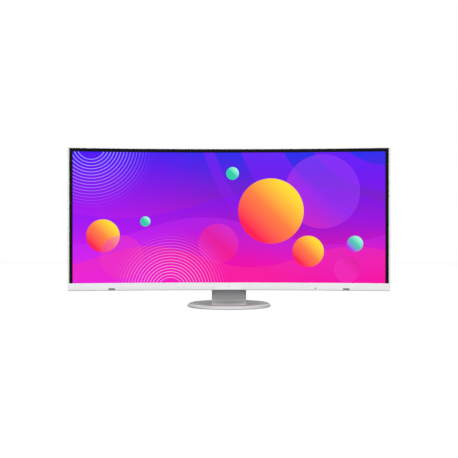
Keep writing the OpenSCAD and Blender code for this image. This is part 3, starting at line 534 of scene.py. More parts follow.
@dataclass(frozen=True)
class FootPaint(StandPaint):
    """The foot's paint, which runs from the column's grey into a paler silver where it lies flat:
    painted light, lightest in the nook, against the shade of the display and the column.
    """

    metal: float = 0.04
    glitter: float = 0.08
    # lower and toe are painted light: the nook's colour is lightest and the toe's paler than the
    # column's grey.
    lower: Colour = WHITE
    toe: Colour = WHITE
    heights: Spot = (0.0, 1.0)
    toe_reach: Spot = (0.0, 1.0)

    def painted_light_and_shade(self, n: Nodes) -> Socket:
        """Gives the foot's colours from its top down and out to its toe: the paler colours are painted
        light.
        """
        flat = n.mix(n.step(n.axes[1], *self.toe_reach, smooth=False), self.lower, self.toe)
        return n.mix(n.step(n.axes[2], *self.heights), self.colour, flat)


@dataclass(frozen=True)
class PunchedSheet:
    """Plastic or metal sheet with a close field of small round holes, for sound, the holes painted
    darker as painted shade.
    """

    name: str
    colour: Colour
    pitch: float = 1.4 * MM
    roughness: float = 0.6
    depth: float = 0.25 * MM
    dark: float = 0.25

    def build(self) -> bpy.types.Material:
        """Makes the material.

        Returns:
            The material.
        """
        n = writer(self.name)
        hole = n.step(n.dots(self.pitch), low=0.2, high=0.5)
        return n.surface(
            # Painted shade: the holes are painted darker than the sheet.
            Base_Color=n.mix(hole, self.colour, shade(self.colour, self.dark)),
            Roughness=self.roughness,
            Normal=n.bump(n.math("SUBTRACT", 1.0, hole), self.depth, strength=0.8),
        )


@dataclass(frozen=True)
class BrushedMetal:
    """Rolled or brushed metal with a grain along one axis."""

    name: str
    colour: Colour
    along: Axis = Axis.Z
    roughness: float = 0.34
    fineness: float = 60.0
    depth: float = 0.004 * MM
    streak: float = 30.0 * MM
    spread: float = 0.14
    dark: float = 0.86

    def build(self) -> bpy.types.Material:
        """Makes the material.

        Returns:
            The material.
        """
        n = writer(self.name)
        stretch = tuple(1.0 if part else self.fineness for part in self.along.value)
        streak = n.noise(self.streak, detail=4.0, roughness=0.6, stretch=stretch)
        return n.surface(
            Base_Color=n.mix(streak, shade(self.colour, self.dark), self.colour),
            Metallic=1.0,
            Roughness=n.about(streak, self.spread, self.roughness),
            Normal=n.bump(streak, self.depth, strength=0.7),
        )


@dataclass(frozen=True)
class GalvanisedSheet:
    """Zinc coated sheet steel with its pale crystal pattern."""

    name: str
    colour: Colour
    crystal: float = 9.0 * MM
    roughness: float = 0.46
    spread: float = 0.16
    dark: float = 0.8

    def build(self) -> bpy.types.Material:
        """Makes the material.

        Returns:
            The material.
        """
        n = writer(self.name)
        tone = n.put("SeparateColor", {0: n.cells(self.crystal, "Color")}).outputs
        return n.surface(
            Base_Color=n.mix(tone[0], shade(self.colour, self.dark), self.colour),
            Metallic=0.9,
            Roughness=n.about(tone[1], self.spread, self.roughness),
        )


@dataclass(frozen=True)
class CircuitBoard:
    """Solder mask over fine copper tracks, with rows of pads."""

    name: str
    mask: Colour
    track: Colour
    pad: Colour = (0.62, 0.6, 0.5)
    track_pitch: float = 1.6 * MM
    pad_pitch: float = 2.54 * MM
    sway: float = 12.0 * MM

    def build(self) -> bpy.types.Material:
        """Makes the material.

        Returns:
            The material.
        """
        n = writer(self.name)
        run = n.math("MULTIPLY_ADD", n.noise(20.0 * MM, detail=1.0), self.sway, n.axes[0])
        lines = n.wave(run, self.track_pitch)
        pads = n.times(n.step(lines, 0.75, 0.9), n.step(n.wave(n.axes[2], self.pad_pitch), 0.6, 0.8))
        tracks = n.times(n.step(lines, 0.3, 0.6), n.step(n.noise(25.0 * MM, detail=1.0), 0.45, 0.5))
        return n.surface(
            Base_Color=n.mix(pads, n.mix(tracks, self.mask, self.track), self.pad),
            Roughness=0.35,
            Normal=n.bump(tracks, 0.03 * MM, strength=0.8),
        )


@dataclass(frozen=True)
class SoftRubber:
    """Matte rubber with dusty, fine pores."""

    name: str
    colour: Colour
    pore: float = 0.5 * MM

    def build(self) -> bpy.types.Material:
        """Makes the material.

        Returns:
            The material.
        """
        n = writer(self.name)
        dust = n.step(n.noise(8.0 * MM, detail=4.0, roughness=0.65), low=0.4, high=0.8)
        dusty = tuple(channel * 1.6 + 0.01 for channel in self.colour)
        return n.surface(
            Base_Color=n.mix(dust, self.colour, dusty),
            Roughness=0.78,
            Specular_IOR_Level=0.25,
            Normal=n.bump(n.cells(self.pore), 0.02 * MM),
        )


@dataclass(frozen=True)
class WoundSpring:
    """Blue-grey spring strip, wound in close turns round a centre, with painted shade in the grooves
    between the turns.
    """

    name: str
    colour: Colour
    centre: Spot
    pitch: float = 0.6 * MM
    roughness: float = 0.325
    smear: float = 10.0 * MM
    spread: float = 0.15
    dark: float = 0.45

    def build(self) -> bpy.types.Material:
        """Makes the material.

        Returns:
            The material.
        """
        n = writer(self.name)
        across, up = (n.math("SUBTRACT", axis, middle) for axis, middle in zip(n.axes[1:], self.centre))
        turns = n.wave(n.length(across, up), self.pitch)
        crowns = n.step(turns, low=-0.9, high=0.2)
        return n.surface(
            # Painted shade: the grooves between the turns are painted darker than the crowns.
            Base_Color=n.mix(crowns, shade(self.colour, self.dark), self.colour),
            Metallic=1.0,
            Roughness=n.uneven(self.smear, self.spread, self.roughness),
            Normal=n.bump(turns, 0.05 * MM, strength=0.6),
        )


@dataclass(frozen=True)
class ClearLens:
    """A small tinted or frosted lens, a little cloudy under its clear coat."""

    name: str
    colour: Colour
    roughness: float = 0.18
    cloud: float = 1.2 * MM
    dark: float = 0.85

    def build(self) -> bpy.types.Material:
        """Makes the material.

        Returns:
            The material.
        """
        n = writer(self.name)
        return n.surface(
            Base_Color=n.mix(n.noise(self.cloud), shade(self.colour, self.dark), self.colour),
            Roughness=self.roughness,
            Coat_Weight=0.3,
        )


@dataclass(frozen=True)
class OpticalSheet:
    """The display's inner sheets: clear or white plastic with a regular field of tiny dots."""

    name: str
    colour: Colour
    clear: float = 0.0
    pitch: float = 2.0 * MM
    pale: float = 1.06

    def build(self) -> bpy.types.Material:
        """Makes the material.

        Returns:
            The material.
        """
        n = writer(self.name)
        printed = n.step(n.dots(self.pitch), low=0.3, high=0.6)
        return n.surface(
            Base_Color=n.mix(printed, self.colour, shade(self.colour, self.pale)),
            Roughness=0.25,
            Transmission_Weight=self.clear,
        )


@dataclass(frozen=True)
class GlossPlastic:
    """Smooth dark plastic with faint handling marks in its gloss."""

    name: str
    colour: Colour
    roughness: float = 0.22
    gloss: float = 0.35
    smear: float = 12.0 * MM
    spread: float = 0.12
    pale: float = 1.25

    def build(self) -> bpy.types.Material:
        """Makes the material.

        Returns:
            The material.
        """
        n = writer(self.name)
        smear = n.noise(self.smear, detail=4.0, roughness=0.6)
        return n.surface(
            Base_Color=n.mix(smear, self.colour, shade(self.colour, self.pale)),
            Roughness=n.about(smear, self.spread, self.roughness),
            Specular_IOR_Level=self.gloss,
        )


@dataclass(frozen=True)
class Hill:
    """A translucent rolling band of the picture, from its crest down."""

    crest: float
    swing: float
    bends: float
    phase: float
    tint: Colour
    weight: float


@dataclass(frozen=True)
class Beam:
    """A curved band of light between two distances from its source."""

    inner: float
    outer: float
    tint: Colour
    weight: float


@dataclass(frozen=True)
class Disc:
    """A disc that runs from one colour at its upper right through another to its lower left."""

    across: float
    up: float
    radius: float
    near: Colour
    middle: Colour
    far: Colour
    weight: float = 1.0
    slant: float = 1.2


@dataclass(frozen=True)
class Ripple:
    """A field of fine pale rings that fades outwards."""

    centre: Spot
    outer: float
    pitch: float
    inner: float = 30.0 * MM
    weight: float = 0.48
    line: Spot = (0.12, 0.04)
    begins_over: float = 10.0 * MM
    fades_from: float = 20.0 * MM


YELLOW, ORANGE, RED = srgb(255, 222, 52), srgb(255, 128, 66), srgb(255, 26, 84)
PINK, VIOLET = srgb(240, 50, 190), srgb(160, 60, 250)
MINT, TEAL = srgb(160, 255, 225), srgb(48, 205, 170)
SKY_STOPS = (
    (0.0, srgb(246, 0, 164)), (0.18, srgb(235, 0, 170)), (0.42, srgb(178, 8, 192)),
    (0.66, srgb(126, 20, 206)), (0.86, srgb(78, 30, 224)), (1.0, srgb(44, 42, 236)),
)
SKY_LEFT = (srgb(226, 30, 240), srgb(70, 0, 250))
HILLS = (
    Hill(0.62, 0.045, 6.4, 0.4, srgb(122, 0, 255), 0.34),
    Hill(0.40, 0.038, 8.8, 2.2, srgb(205, 40, 250), 0.30),
    Hill(0.20, 0.030, 11.0, 4.0, srgb(255, 40, 150), 0.40),
)
BEAMS = (
    Beam(0.20, 0.27, srgb(128, 0, 255), 0.55),
    Beam(0.34, 0.45, srgb(140, 10, 255), 0.42),
    Beam(0.52, 0.55, srgb(150, 20, 255), 0.3),
)
DISCS = (
    Disc(0.262, 0.70, 0.104, VIOLET, VIOLET, PINK, 0.42),
    Disc(0.118, 0.55, 0.092, YELLOW, ORANGE, RED),
    Disc(-0.030, 0.30, 0.056, PINK, RED, PINK, 0.5),
    Disc(0.222, 0.24, 0.044, YELLOW, ORANGE, RED),
    Disc(0.010, 0.84, 0.018, MINT, TEAL, TEAL),
    Disc(0.352, 0.30, 0.022, MINT, TEAL, VIOLET, 0.95),
    Disc(-0.352, 0.36, 0.046, YELLOW, ORANGE, RED),
    Disc(-0.300, 0.20, 0.060, PINK, PINK, PINK, 0.45),
    Disc(-0.235, 0.47, 0.014, MINT, TEAL, TEAL),
    Disc(0.330, 0.10, 0.036, srgb(215, 30, 150), PINK, PINK, 0.5),
)


@dataclass
class Painting:
    """The picture as it is painted, from the sky at the back to the ripples in front."""

    n: Nodes
    low: float
    high: float
    half: float
    colour: Value = 0.0
    blur: float = 0.4 * MM
    sway: float = 12.0 * MM
    sway_bends: float = 7.0
    hill_depth: float = 140.0 * MM
    violet_from: float = 60.0 * MM
    violet: float = 0.85
    beam_source: Spot = (20.0 * MM, 160.0 * MM)
    beam_fade: Spot = (0.1, 0.9)

    def __post_init__(self) -> None:
        """Takes the places across and up."""
        self.x, _, self.z = self.n.axes

    def at(self, share: float) -> float:
        """Gives the height at a share of the picture from its lower edge."""
        return self.low + (self.high - self.low) * share

    def lay(self, share: Value, tint: Value) -> None:
        """Lays a colour over the picture by a share."""
        self.colour = self.n.mix(share, self.colour, tint)

    def reach(self, centre: Spot) -> Socket:
        """Gives the distance from a point of the picture."""
        n = self.n
        return n.length(n.math("SUBTRACT", self.x, centre[0]), n.math("SUBTRACT", self.z, centre[1]))

    def within(self, reach: Socket, radius: float) -> Socket:
        """Gives 1 inside a radius and 0 outside it."""
        return self.n.step(reach, radius + self.blur, radius - self.blur)

    def sky(self) -> None:
        """Paints the background, with a violet cast that grows to the left."""
        n = self.n
        sway = n.times(n.math("SINE", n.times(self.x, self.sway_bends)), self.sway)
        height = n.step(n.math("ADD", self.z, sway), self.low, self.high, smooth=False)
        ramp = n.add("ValToRGB")
        elements = ramp.color_ramp.elements
        while len(elements) < len(SKY_STOPS):
            elements.new(0.5)
        for element, (place, tint) in zip(elements, SKY_STOPS):
            element.position = place
            element.color = (*tint, 1.0)
        n.feed(ramp.inputs[0], height)
        left = n.times(n.step(self.x, self.violet_from, -self.half), self.violet)
        self.colour = n.mix(left, ramp.outputs[0], n.mix(height, *SKY_LEFT))

    def hills(self) -> None:
        """Lays translucent rolling bands over the lower part."""
        n = self.n
        for hill in HILLS:
            bend = n.math("SINE", n.math("MULTIPLY_ADD", self.x, hill.bends, hill.phase))
            crest = n.math("MULTIPLY_ADD", bend, hill.swing, self.at(hill.crest))
            edge = n.math("SUBTRACT", crest, self.z)
            body = n.times(n.step(edge, 0.0, 2 * self.blur), n.step(edge, self.hill_depth, 0.0))
            self.lay(n.times(body, hill.weight), hill.tint)

    def beams(self) -> None:
        """Paints wide curved bands of light that fan from beyond the top right corner."""
        beyond, above = self.beam_source
        reach = self.reach((self.half + beyond, self.high + above))
        fade = self.n.step(self.z, *map(self.at, self.beam_fade))
        for beam in BEAMS:
            outside = self.n.step(reach, beam.inner - self.blur, beam.inner + self.blur)
            self.lay(self.n.times(outside, self.within(reach, beam.outer), fade, beam.weight), beam.tint)

    def discs(self) -> None:
        """Paints the warm, violet and teal discs."""
        n = self.n
        for disc in DISCS:
            centre = (disc.across, self.at(disc.up))
            mask = n.times(self.within(self.reach(centre), disc.radius), disc.weight)
            right, above = (n.math("SUBTRACT", *pair) for pair in zip((self.x, self.z), centre))
            far = disc.slant * disc.radius
            share = n.step(n.math("ADD", right, above), -far, far, smooth=False)
            upper = n.mix(n.step(share, 0.5, 1.0, smooth=False), disc.middle, disc.near)
            self.lay(mask, n.mix(n.step(share, 0.0, 0.5, smooth=False), disc.far, upper))

    def ripples(self) -> None:
        """Draws fields of fine pale rings that fade outwards."""
        n = self.n
        for ripple in (
            Ripple((-0.165, self.at(-0.06)), 0.175, 8.2 * MM),
            Ripple((-self.half + 0.05, self.at(1.05)), 0.185, 8.8 * MM),
        ):
            reach = self.reach(ripple.centre)
            ring = n.math("SUBTRACT", n.math("FRACT", n.math("DIVIDE", reach, ripple.pitch)), 0.5)
            line = n.step(n.math("ABSOLUTE", ring), *ripple.line)
            begin = n.step(reach, ripple.inner, ripple.inner + ripple.begins_over)
            fade = n.step(reach, ripple.outer, ripple.inner + ripple.fades_from)
            self.lay(n.times(line, n.times(begin, fade), ripple.weight), WHITE)


@dataclass(frozen=True)
class LitPicture:
    """The lit picture: discs, ripples and rolling hills over a blue to pink sky."""

    name: str
    low: float
    high: float
    half: float
    strength: float = 1.0
    unlit: Colour = (0.004, 0.004, 0.005)

    def build(self) -> bpy.types.Material:
        """Makes the material.

        Returns:
            The material.
        """
        painting = Painting(writer(self.name), self.low, self.high, self.half)
        for paint in (painting.sky, painting.hills, painting.beams, painting.discs, painting.ripples):
            paint()
        return painting.n.surface(
            Base_Color=self.unlit,
            Roughness=0.6,
            Specular_IOR_Level=0.02,
            Emission_Color=painting.colour,
            Emission_Strength=self.strength,
        )


def middle(edge: bmesh.types.BMEdge) -> Vector:
    """Gives the middle of an edge."""
    return (edge.verts[0].co + edge.verts[1].co) / 2


class Shape:
    """One bmesh that grows by boxes and rings until it becomes a piece."""

    def __init__(self) -> None:
        """Starts empty."""
        self.mesh = bmesh.new()

    def box(self, low: Sequence[float], high: Sequence[float], round_by: float = 0.0) -> "Shape":
        """Adds a box between two corners, with its edges rounded.

        Args:
            low: Its lowest corner.
            high: Its highest corner.
            round_by: The edges' radius.

        Returns:
            The shape.
        """
        low, high = Vector(low), Vector(high)
        matrix = Matrix.Translation((low + high) / 2) @ Matrix.Diagonal((*(high - low), 1.0))
        made = bmesh.ops.create_cube(self.mesh, size=1.0, matrix=matrix)
        if round_by > 0.0:
            edges = list({edge for vert in made["verts"] for edge in vert.link_edges})
            bmesh.ops.bevel(self.mesh, geom=edges, offset=round_by, clamp_overlap=True, **ROUNDED)
        return self

    def ring(
        self, outline: Sequence[Spot], centre: Sequence[float], axis: Axis, steps: int,
    ) -> "Shape":
        """Spins a closed outline round an axis.

        Args:
            outline: The outline's corners, each its radius and its distance along the axis.
            centre: A point on the axis where the distance is 0.
            axis: The axis.
            steps: How many steps the spin has.

        Returns:
            The shape.
        """
        way = Vector(axis.value)
        side = way.orthogonal().normalized()
        origin = Vector(centre)
        verts = [self.mesh.verts.new(origin + side * radius + way * along) for radius, along in outline]
        face = self.mesh.faces.new(verts)
        made = bmesh.ops.spin(
            self.mesh, geom=[face, *face.edges, *face.verts], cent=origin, axis=way, angle=TURN,
            steps=steps, use_merge=True,
        )
        stale = {face, *(part for part in made["geom_last"] if isinstance(part, bmesh.types.BMFace))}
        stale &= set(self.mesh.faces)
        bmesh.ops.delete(self.mesh, geom=list(stale), context="FACES_ONLY")
        bmesh.ops.remove_doubles(self.mesh, verts=self.mesh.verts, dist=SEAM_WELD)
        return self


class Finishes:
    """Makes each material once, dresses CAD nodes with it and turns shapes into pieces."""

    def __init__(self, frame: dict) -> None:
        """Keeps the frame and an empty wardrobe.
        """
        record = frame["record"]
        self.frame = frame
        self.made: dict[str, bpy.types.Material] = {}
        self.slots: dict[str, str] = {row["node"]: row["material_slot"] for row in record["subparts"]}
        self.mounts: dict[str, dict] = {row["name"]: row for row in record["mounts"]}
        self.body_of: dict[str, Body] = {
            node: Body(body) for body, nodes in record["behaviour"]["bodies"].items() for node in nodes
        }

    def get(self, finish: Finish) -> bpy.types.Material:
        """Gives a finish's material, made at its first use.

        Args:
            finish: The finish.

        Returns:
            The material.
        """
        if finish.name not in self.made:
            self.made[finish.name] = finish.build()
        return self.made[finish.name]

    def dress(self, plan: dict[str, Finish]) -> None:
        """Gives CAD nodes their materials.

        Args:
            plan: Each node's finish.
        """
        for node, finish in plan.items():
            data = self.frame["nodes"][node].data
            data.materials.clear()
            data.materials.append(self.get(finish))
            smooth(data, NODE_SMOOTH)
            LOG.info("node %s dressed in %s", node, finish.name)

    def settle(
        self, name: str, mesh: bmesh.types.BMesh, body: Body, finish: Finish,
        stands_for: Sequence[str] = (),
    ) -> bpy.types.Object:
        """Turns a mesh into a piece that is shaded by angle, dressed and rides on a body.

        Args:
            name: The piece's name.
            mesh: Its mesh, in place, which is used up.
            body: The body it rides on.
            finish: Its finish.
            stands_for: CAD nodes that it replaces.

        Returns:
            The piece.
        """
        data = bpy.data.meshes.new(name)
        mesh.to_mesh(data)
        mesh.free()
        smooth(data, PIECE_SMOOTH)
        data.materials.append(self.get(finish))
        piece = enter(name, data)
        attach(piece, body.value)
        if stands_for:
            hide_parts(*stands_for)
        LOG.info("piece %s: %d faces on %s", name, len(data.polygons), body.value)
        return piece

    def add(
        self, name: str, shape: Shape, body: Body, like: str, finish: Finish,
        stands_for: Sequence[str] = (),
    ) -> None:
        """Settles a shape as a new piece, with its faces turned outwards."""
        bmesh.ops.recalc_face_normals(shape.mesh, faces=shape.mesh.faces)
        self.settle(name, shape.mesh, body, finish, stands_for)

    def soften(
        self, node: str, finish: Finish, radius: float,
        keep: Callable[[bmesh.types.BMEdge], bool] = lambda edge: True, body: Body | None = None,
    ) -> bpy.types.Object:
        """Makes a piece in a CAD node's place, with its sharp edges rounded.

        Args:
            node: The CAD node.
            finish: The piece's finish.
            radius: The edges' radius.
            keep: Says of an edge whether it is rounded.
            body: The body it rides on, where it isn't the node's own.

        Returns:
            The piece.
        """
        mesh = bmesh.new()
        mesh.from_mesh(self.frame["nodes"][node].data)
        bmesh.ops.remove_doubles(mesh, verts=mesh.verts, dist=WELD)
        bmesh.ops.dissolve_limit(mesh, angle_limit=FLAT_ANGLE, verts=mesh.verts, edges=mesh.edges)
        sharp = [
            edge for edge in mesh.edges
            if edge.is_manifold and edge.calc_face_angle(0.0) > SHARP_ANGLE and keep(edge)
        ]
        if sharp:
            bmesh.ops.bevel(
                mesh, geom=sharp, offset=radius, clamp_overlap=False, loop_slide=True, **ROUNDED,
            )
        low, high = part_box(node)
        for vert in mesh.verts:
            vert.co = [min(max(value, least), most) for value, least, most in zip(vert.co, low, high)]
        piece = self.settle(node + "_rounded", mesh, body or self.body_of[node], finish, [node])
        even = piece.modifiers.new("even_shading", "WEIGHTED_NORMAL")
        even.weight = EVEN_WEIGHT
        even.keep_sharp = True
        return piece


WHITE_CASE = MouldedPlastic("white_case", (0.80, 0.81, 0.82), 0.5)
BEZEL_WHITE = (0.85, 0.86, 0.875)
BLACK_BORDER = GlossPlastic("black_border", (0.0035, 0.0033, 0.0042), 0.5, 0.03)
GREY_GRILLE = PunchedSheet("grey_grille", (0.46, 0.475, 0.49))
BLACK_PLASTIC = MouldedPlastic("black_plastic", (0.022, 0.022, 0.024), 0.5)
DARK_LENS = ClearLens("dark_lens", (0.05, 0.052, 0.058))
PALE_LENS = ClearLens("pale_lens", (0.62, 0.63, 0.65), 0.3)
LAMP_LENS = ClearLens("lamp_lens", (0.66, 0.68, 0.69), 0.35)
FILM = OpticalSheet("film_sheet", (0.86, 0.87, 0.88))
CLEAR_GUIDE = OpticalSheet("clear_guide", (0.85, 0.93, 0.95), 0.8, 3.0 * MM)
LAMP_BOARD = CircuitBoard("lamp_board", (0.8, 0.79, 0.72), (0.72, 0.7, 0.6))
GREEN_BOARD = CircuitBoard("green_board", (0.02, 0.12, 0.05), (0.035, 0.2, 0.085))
TAN_BOARD = CircuitBoard("tan_board", (0.42, 0.28, 0.12), (0.5, 0.36, 0.18))
INNER_PLASTIC = MouldedPlastic("inner_plastic", (0.72, 0.72, 0.69), 0.55)
SHEET_STEEL = GalvanisedSheet("sheet_steel", (0.62, 0.63, 0.64))
PLATE_STEEL = BrushedMetal("plate_steel", (0.5, 0.51, 0.52), Axis.X, 0.42)
BRIGHT_STEEL = BrushedMetal("bright_steel", (0.72, 0.73, 0.74), Axis.Z, 0.26)
SHAFT_STEEL = BrushedMetal("shaft_steel", (0.72, 0.73, 0.74), Axis.X, 0.24)
ZINC_SCREW = BrushedMetal("zinc_screw", (0.74, 0.75, 0.76), Axis.Y, 0.3)
SOCKET_STEEL = BrushedMetal("socket_steel", (0.78, 0.78, 0.79), Axis.Z, 0.22)
BRONZE = BrushedMetal("bronze", (0.6, 0.4, 0.2), Axis.X, 0.36)
BRASS = BrushedMetal("plated_brass", (0.82, 0.66, 0.36), Axis.Z, 0.25)
BRACKET_PAINT = SatinPaint("bracket_paint", (0.11, 0.115, 0.12), 0.3, 0.45)
STAND_PAINT = SatinPaint("stand_paint", (0.45, 0.455, 0.46))
SOCKET_GOLD = BrushedMetal("contact_gold", (0.86, 0.66, 0.28), Axis.Z, 0.22)
GREEN_LAMP = ClearLens("green_lamp", (0.2, 0.62, 0.25), 0.2)
AMBER_LAMP = ClearLens("amber_lamp", (0.8, 0.5, 0.1), 0.2)
PLATE_FILM = SatinPaint("plate_film", (0.66, 0.665, 0.67), 0.3, 0.4)
SEAM_PLASTIC = MouldedPlastic("seam_plastic", (0.09, 0.09, 0.092), 0.6)
HOLDER_PLASTIC = MouldedPlastic("holder_plastic", (0.30, 0.305, 0.31), 0.5)
BUTTON_PLASTIC = MouldedPlastic("button_plastic", (0.12, 0.125, 0.13), 0.5)
SLIDER_PLASTIC = MouldedPlastic("slider_plastic", (0.72, 0.72, 0.68), 0.4)
DARK_PARTS = MouldedPlastic("dark_parts", (0.06, 0.06, 0.065), 0.45)
RIBBON = OpticalSheet("ribbon_film", (0.5, 0.33, 0.12), 0.0, 1.0 * MM)
RUBBER = SoftRubber("foot_rubber", (0.03, 0.03, 0.032))
ROCKER_PLASTIC = GlossPlastic("rocker_plastic", (0.02, 0.02, 0.022), 0.2, 0.5)
MARK_PAINT = MouldedPlastic("mark_paint", (0.62, 0.63, 0.64), 0.6)


@dataclass
class Assembly:
    """A sub-assembly, which dresses its CAD nodes and makes its finer pieces."""

    finishes: Finishes

    def build(self) -> None:
        """Builds and dresses the sub-assembly."""
        raise NotImplementedError


@dataclass
class Display(Assembly):
    """The curved picture with its black border and its inner sheets."""

    edge: float = 3.0 * MM

    def build(self) -> None:
        """Dresses the display."""
        low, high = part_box("lcd_panel")
        picture = LitPicture("lit_picture", low.z + self.edge, high.z - self.edge, high.x - self.edge)
        self.finishes.dress({
            "lcd_panel": picture, "panel_frame": BLACK_BORDER, "optical_films": FILM,
            "reflector_sheet": FILM, "light_guide": CLEAR_GUIDE, "led_bar": LAMP_BOARD,
            "mid_frame": INNER_PLASTIC, "panel_chassis": SHEET_STEEL,
        })


@dataclass
class Bezel(Assembly):
    """The white bezel with its grilles, lenses, speakers and key board."""

    wall: float = 1.5 * MM
    # Height of the lower lip that gets painted shade.
    lip: float = 1.5 * MM
    edge_radius: float = 0.25 * MM

    def build(self) -> None:
        """Builds and dresses the bezel."""
        low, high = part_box("front_bezel")
        least, most = low.z + self.wall, high.z - self.wall
        # The bezel's lower lip is painted darker: painted shade under the bezel.
        white = PaintedShadeLipPlastic(
            "white_bezel_with_painted_shade", BEZEL_WHITE, roughness=0.46, grain=0.4 * MM, depth=0.008 * MM,
            painted_shade_top=low.z + self.lip,
        )
        self.finishes.soften(
            "front_bezel", white, self.edge_radius, keep=lambda edge: not least < middle(edge).z < most,
        )
        self.finishes.dress({
            "speaker_grilles": GREY_GRILLE, "speakers": BLACK_PLASTIC, "touch_key_board": GREEN_BOARD,
            "light_sensor_lens": DARK_LENS, "power_lamp_lens": LAMP_LENS,
            "presence_sensor_lens": PALE_LENS,
        })


@dataclass
class Cabinet(Assembly):
    """The rear cabinet with its electronics and sockets."""

    edge_radius: float = 1.0 * MM
    rim: float = 5.0 * MM
    long_edge: float = 24.0 * MM
    hump_depth: float = 36.0 * MM
    plate_low: Spot = (96.0 * MM, -22.0 * MM)
    plate_high: Spot = (176.0 * MM, 22.0 * MM)
    plate_rim: float = 0.8 * MM
    plate_sink: float = 0.05 * MM
    plate_rise: float = 0.12 * MM
    rim_rise: float = 0.22 * MM

    def build(self) -> None:
        """Builds and dresses the cabinet."""
        low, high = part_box("rear_cabinet")
        least, most, side = low.z + self.rim, high.z - self.rim, high.x - self.rim

        def outer(edge: bmesh.types.BMEdge) -> bool:
            """Tells whether an edge runs round the rim or along the hump.

            Args:
                edge: The edge.

            Returns:
                True where it does.
            """
            place = middle(edge)
            on_rim = not least < place.z < most or abs(place.x) > side
            at_hump = place.y > high.y - self.hump_depth
            return on_rim or at_hump and edge.is_convex and edge.calc_length() > self.long_edge

        self.finishes.soften("rear_cabinet", WHITE_CASE, self.edge_radius, keep=outer)
        self.finishes.dress({
            "cabinet_screws": ZINC_SCREW, "electronics_tray": SHEET_STEEL,
            "mounting_plate": PLATE_STEEL, "main_board": GREEN_BOARD, "power_board": TAN_BOARD,
            "board_parts": DARK_PARTS, "display_ribbon": RIBBON, "socket_bracket": SHEET_STEEL,
            "hdmi_sockets": SOCKET_STEEL, "displayport_socket": SOCKET_STEEL,
            "usb_c_socket": SOCKET_STEEL, "network_socket": BLACK_PLASTIC,
            "usb_a_sockets": SOCKET_STEEL, "headphone_socket": BLACK_PLASTIC, "inlet_pins": BRASS,
        })
        self._rating_plate(high.y)

    def _rating_plate(self, face: float) -> None:
        """Sticks a bare plate with a raised frame on the hump.

        Args:
            face: How far back the hump reaches.
        """
        mount_low, mount_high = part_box("mounting_plate")
        base = (mount_low.z + mount_high.z) / 2
        (left, lower), (right, upper) = self.plate_low, self.plate_high
        sunk, raised, rim = face - self.plate_sink, face + self.plate_sink, self.plate_rim
        shape = Shape().box(
            (left, sunk, base + lower), (right, face + self.plate_rise, base + upper), self.plate_sink,
        )
        for (x0, z0), (x1, z1) in (
            ((left, lower), (right, lower + rim)), ((left, upper - rim), (right, upper)),
            ((left, lower + rim), (left + rim, upper - rim)),
            ((right - rim, lower + rim), (right, upper - rim)),
        ):
            shape.box((x0, raised, base + z0), (x1, face + self.rim_rise, base + z1))
        self.finishes.add("rating_plate", shape, Body.HEAD, "mounting_plate", PLATE_FILM)


class Row(Enum):
    """How the contacts of a socket stand: on the tongue's two faces, or on one."""

    BOTH = (-1.0, 1.0)
    ONE = (-1.0,)


@dataclass(frozen=True)
class Contacts:
    """The row of contacts in one kind of socket."""

    mounts: tuple[str, ...]
    count: int
    pitch: float
    width: float
    offset: float
    row: Row = Row.BOTH
    shift: float = 0.0


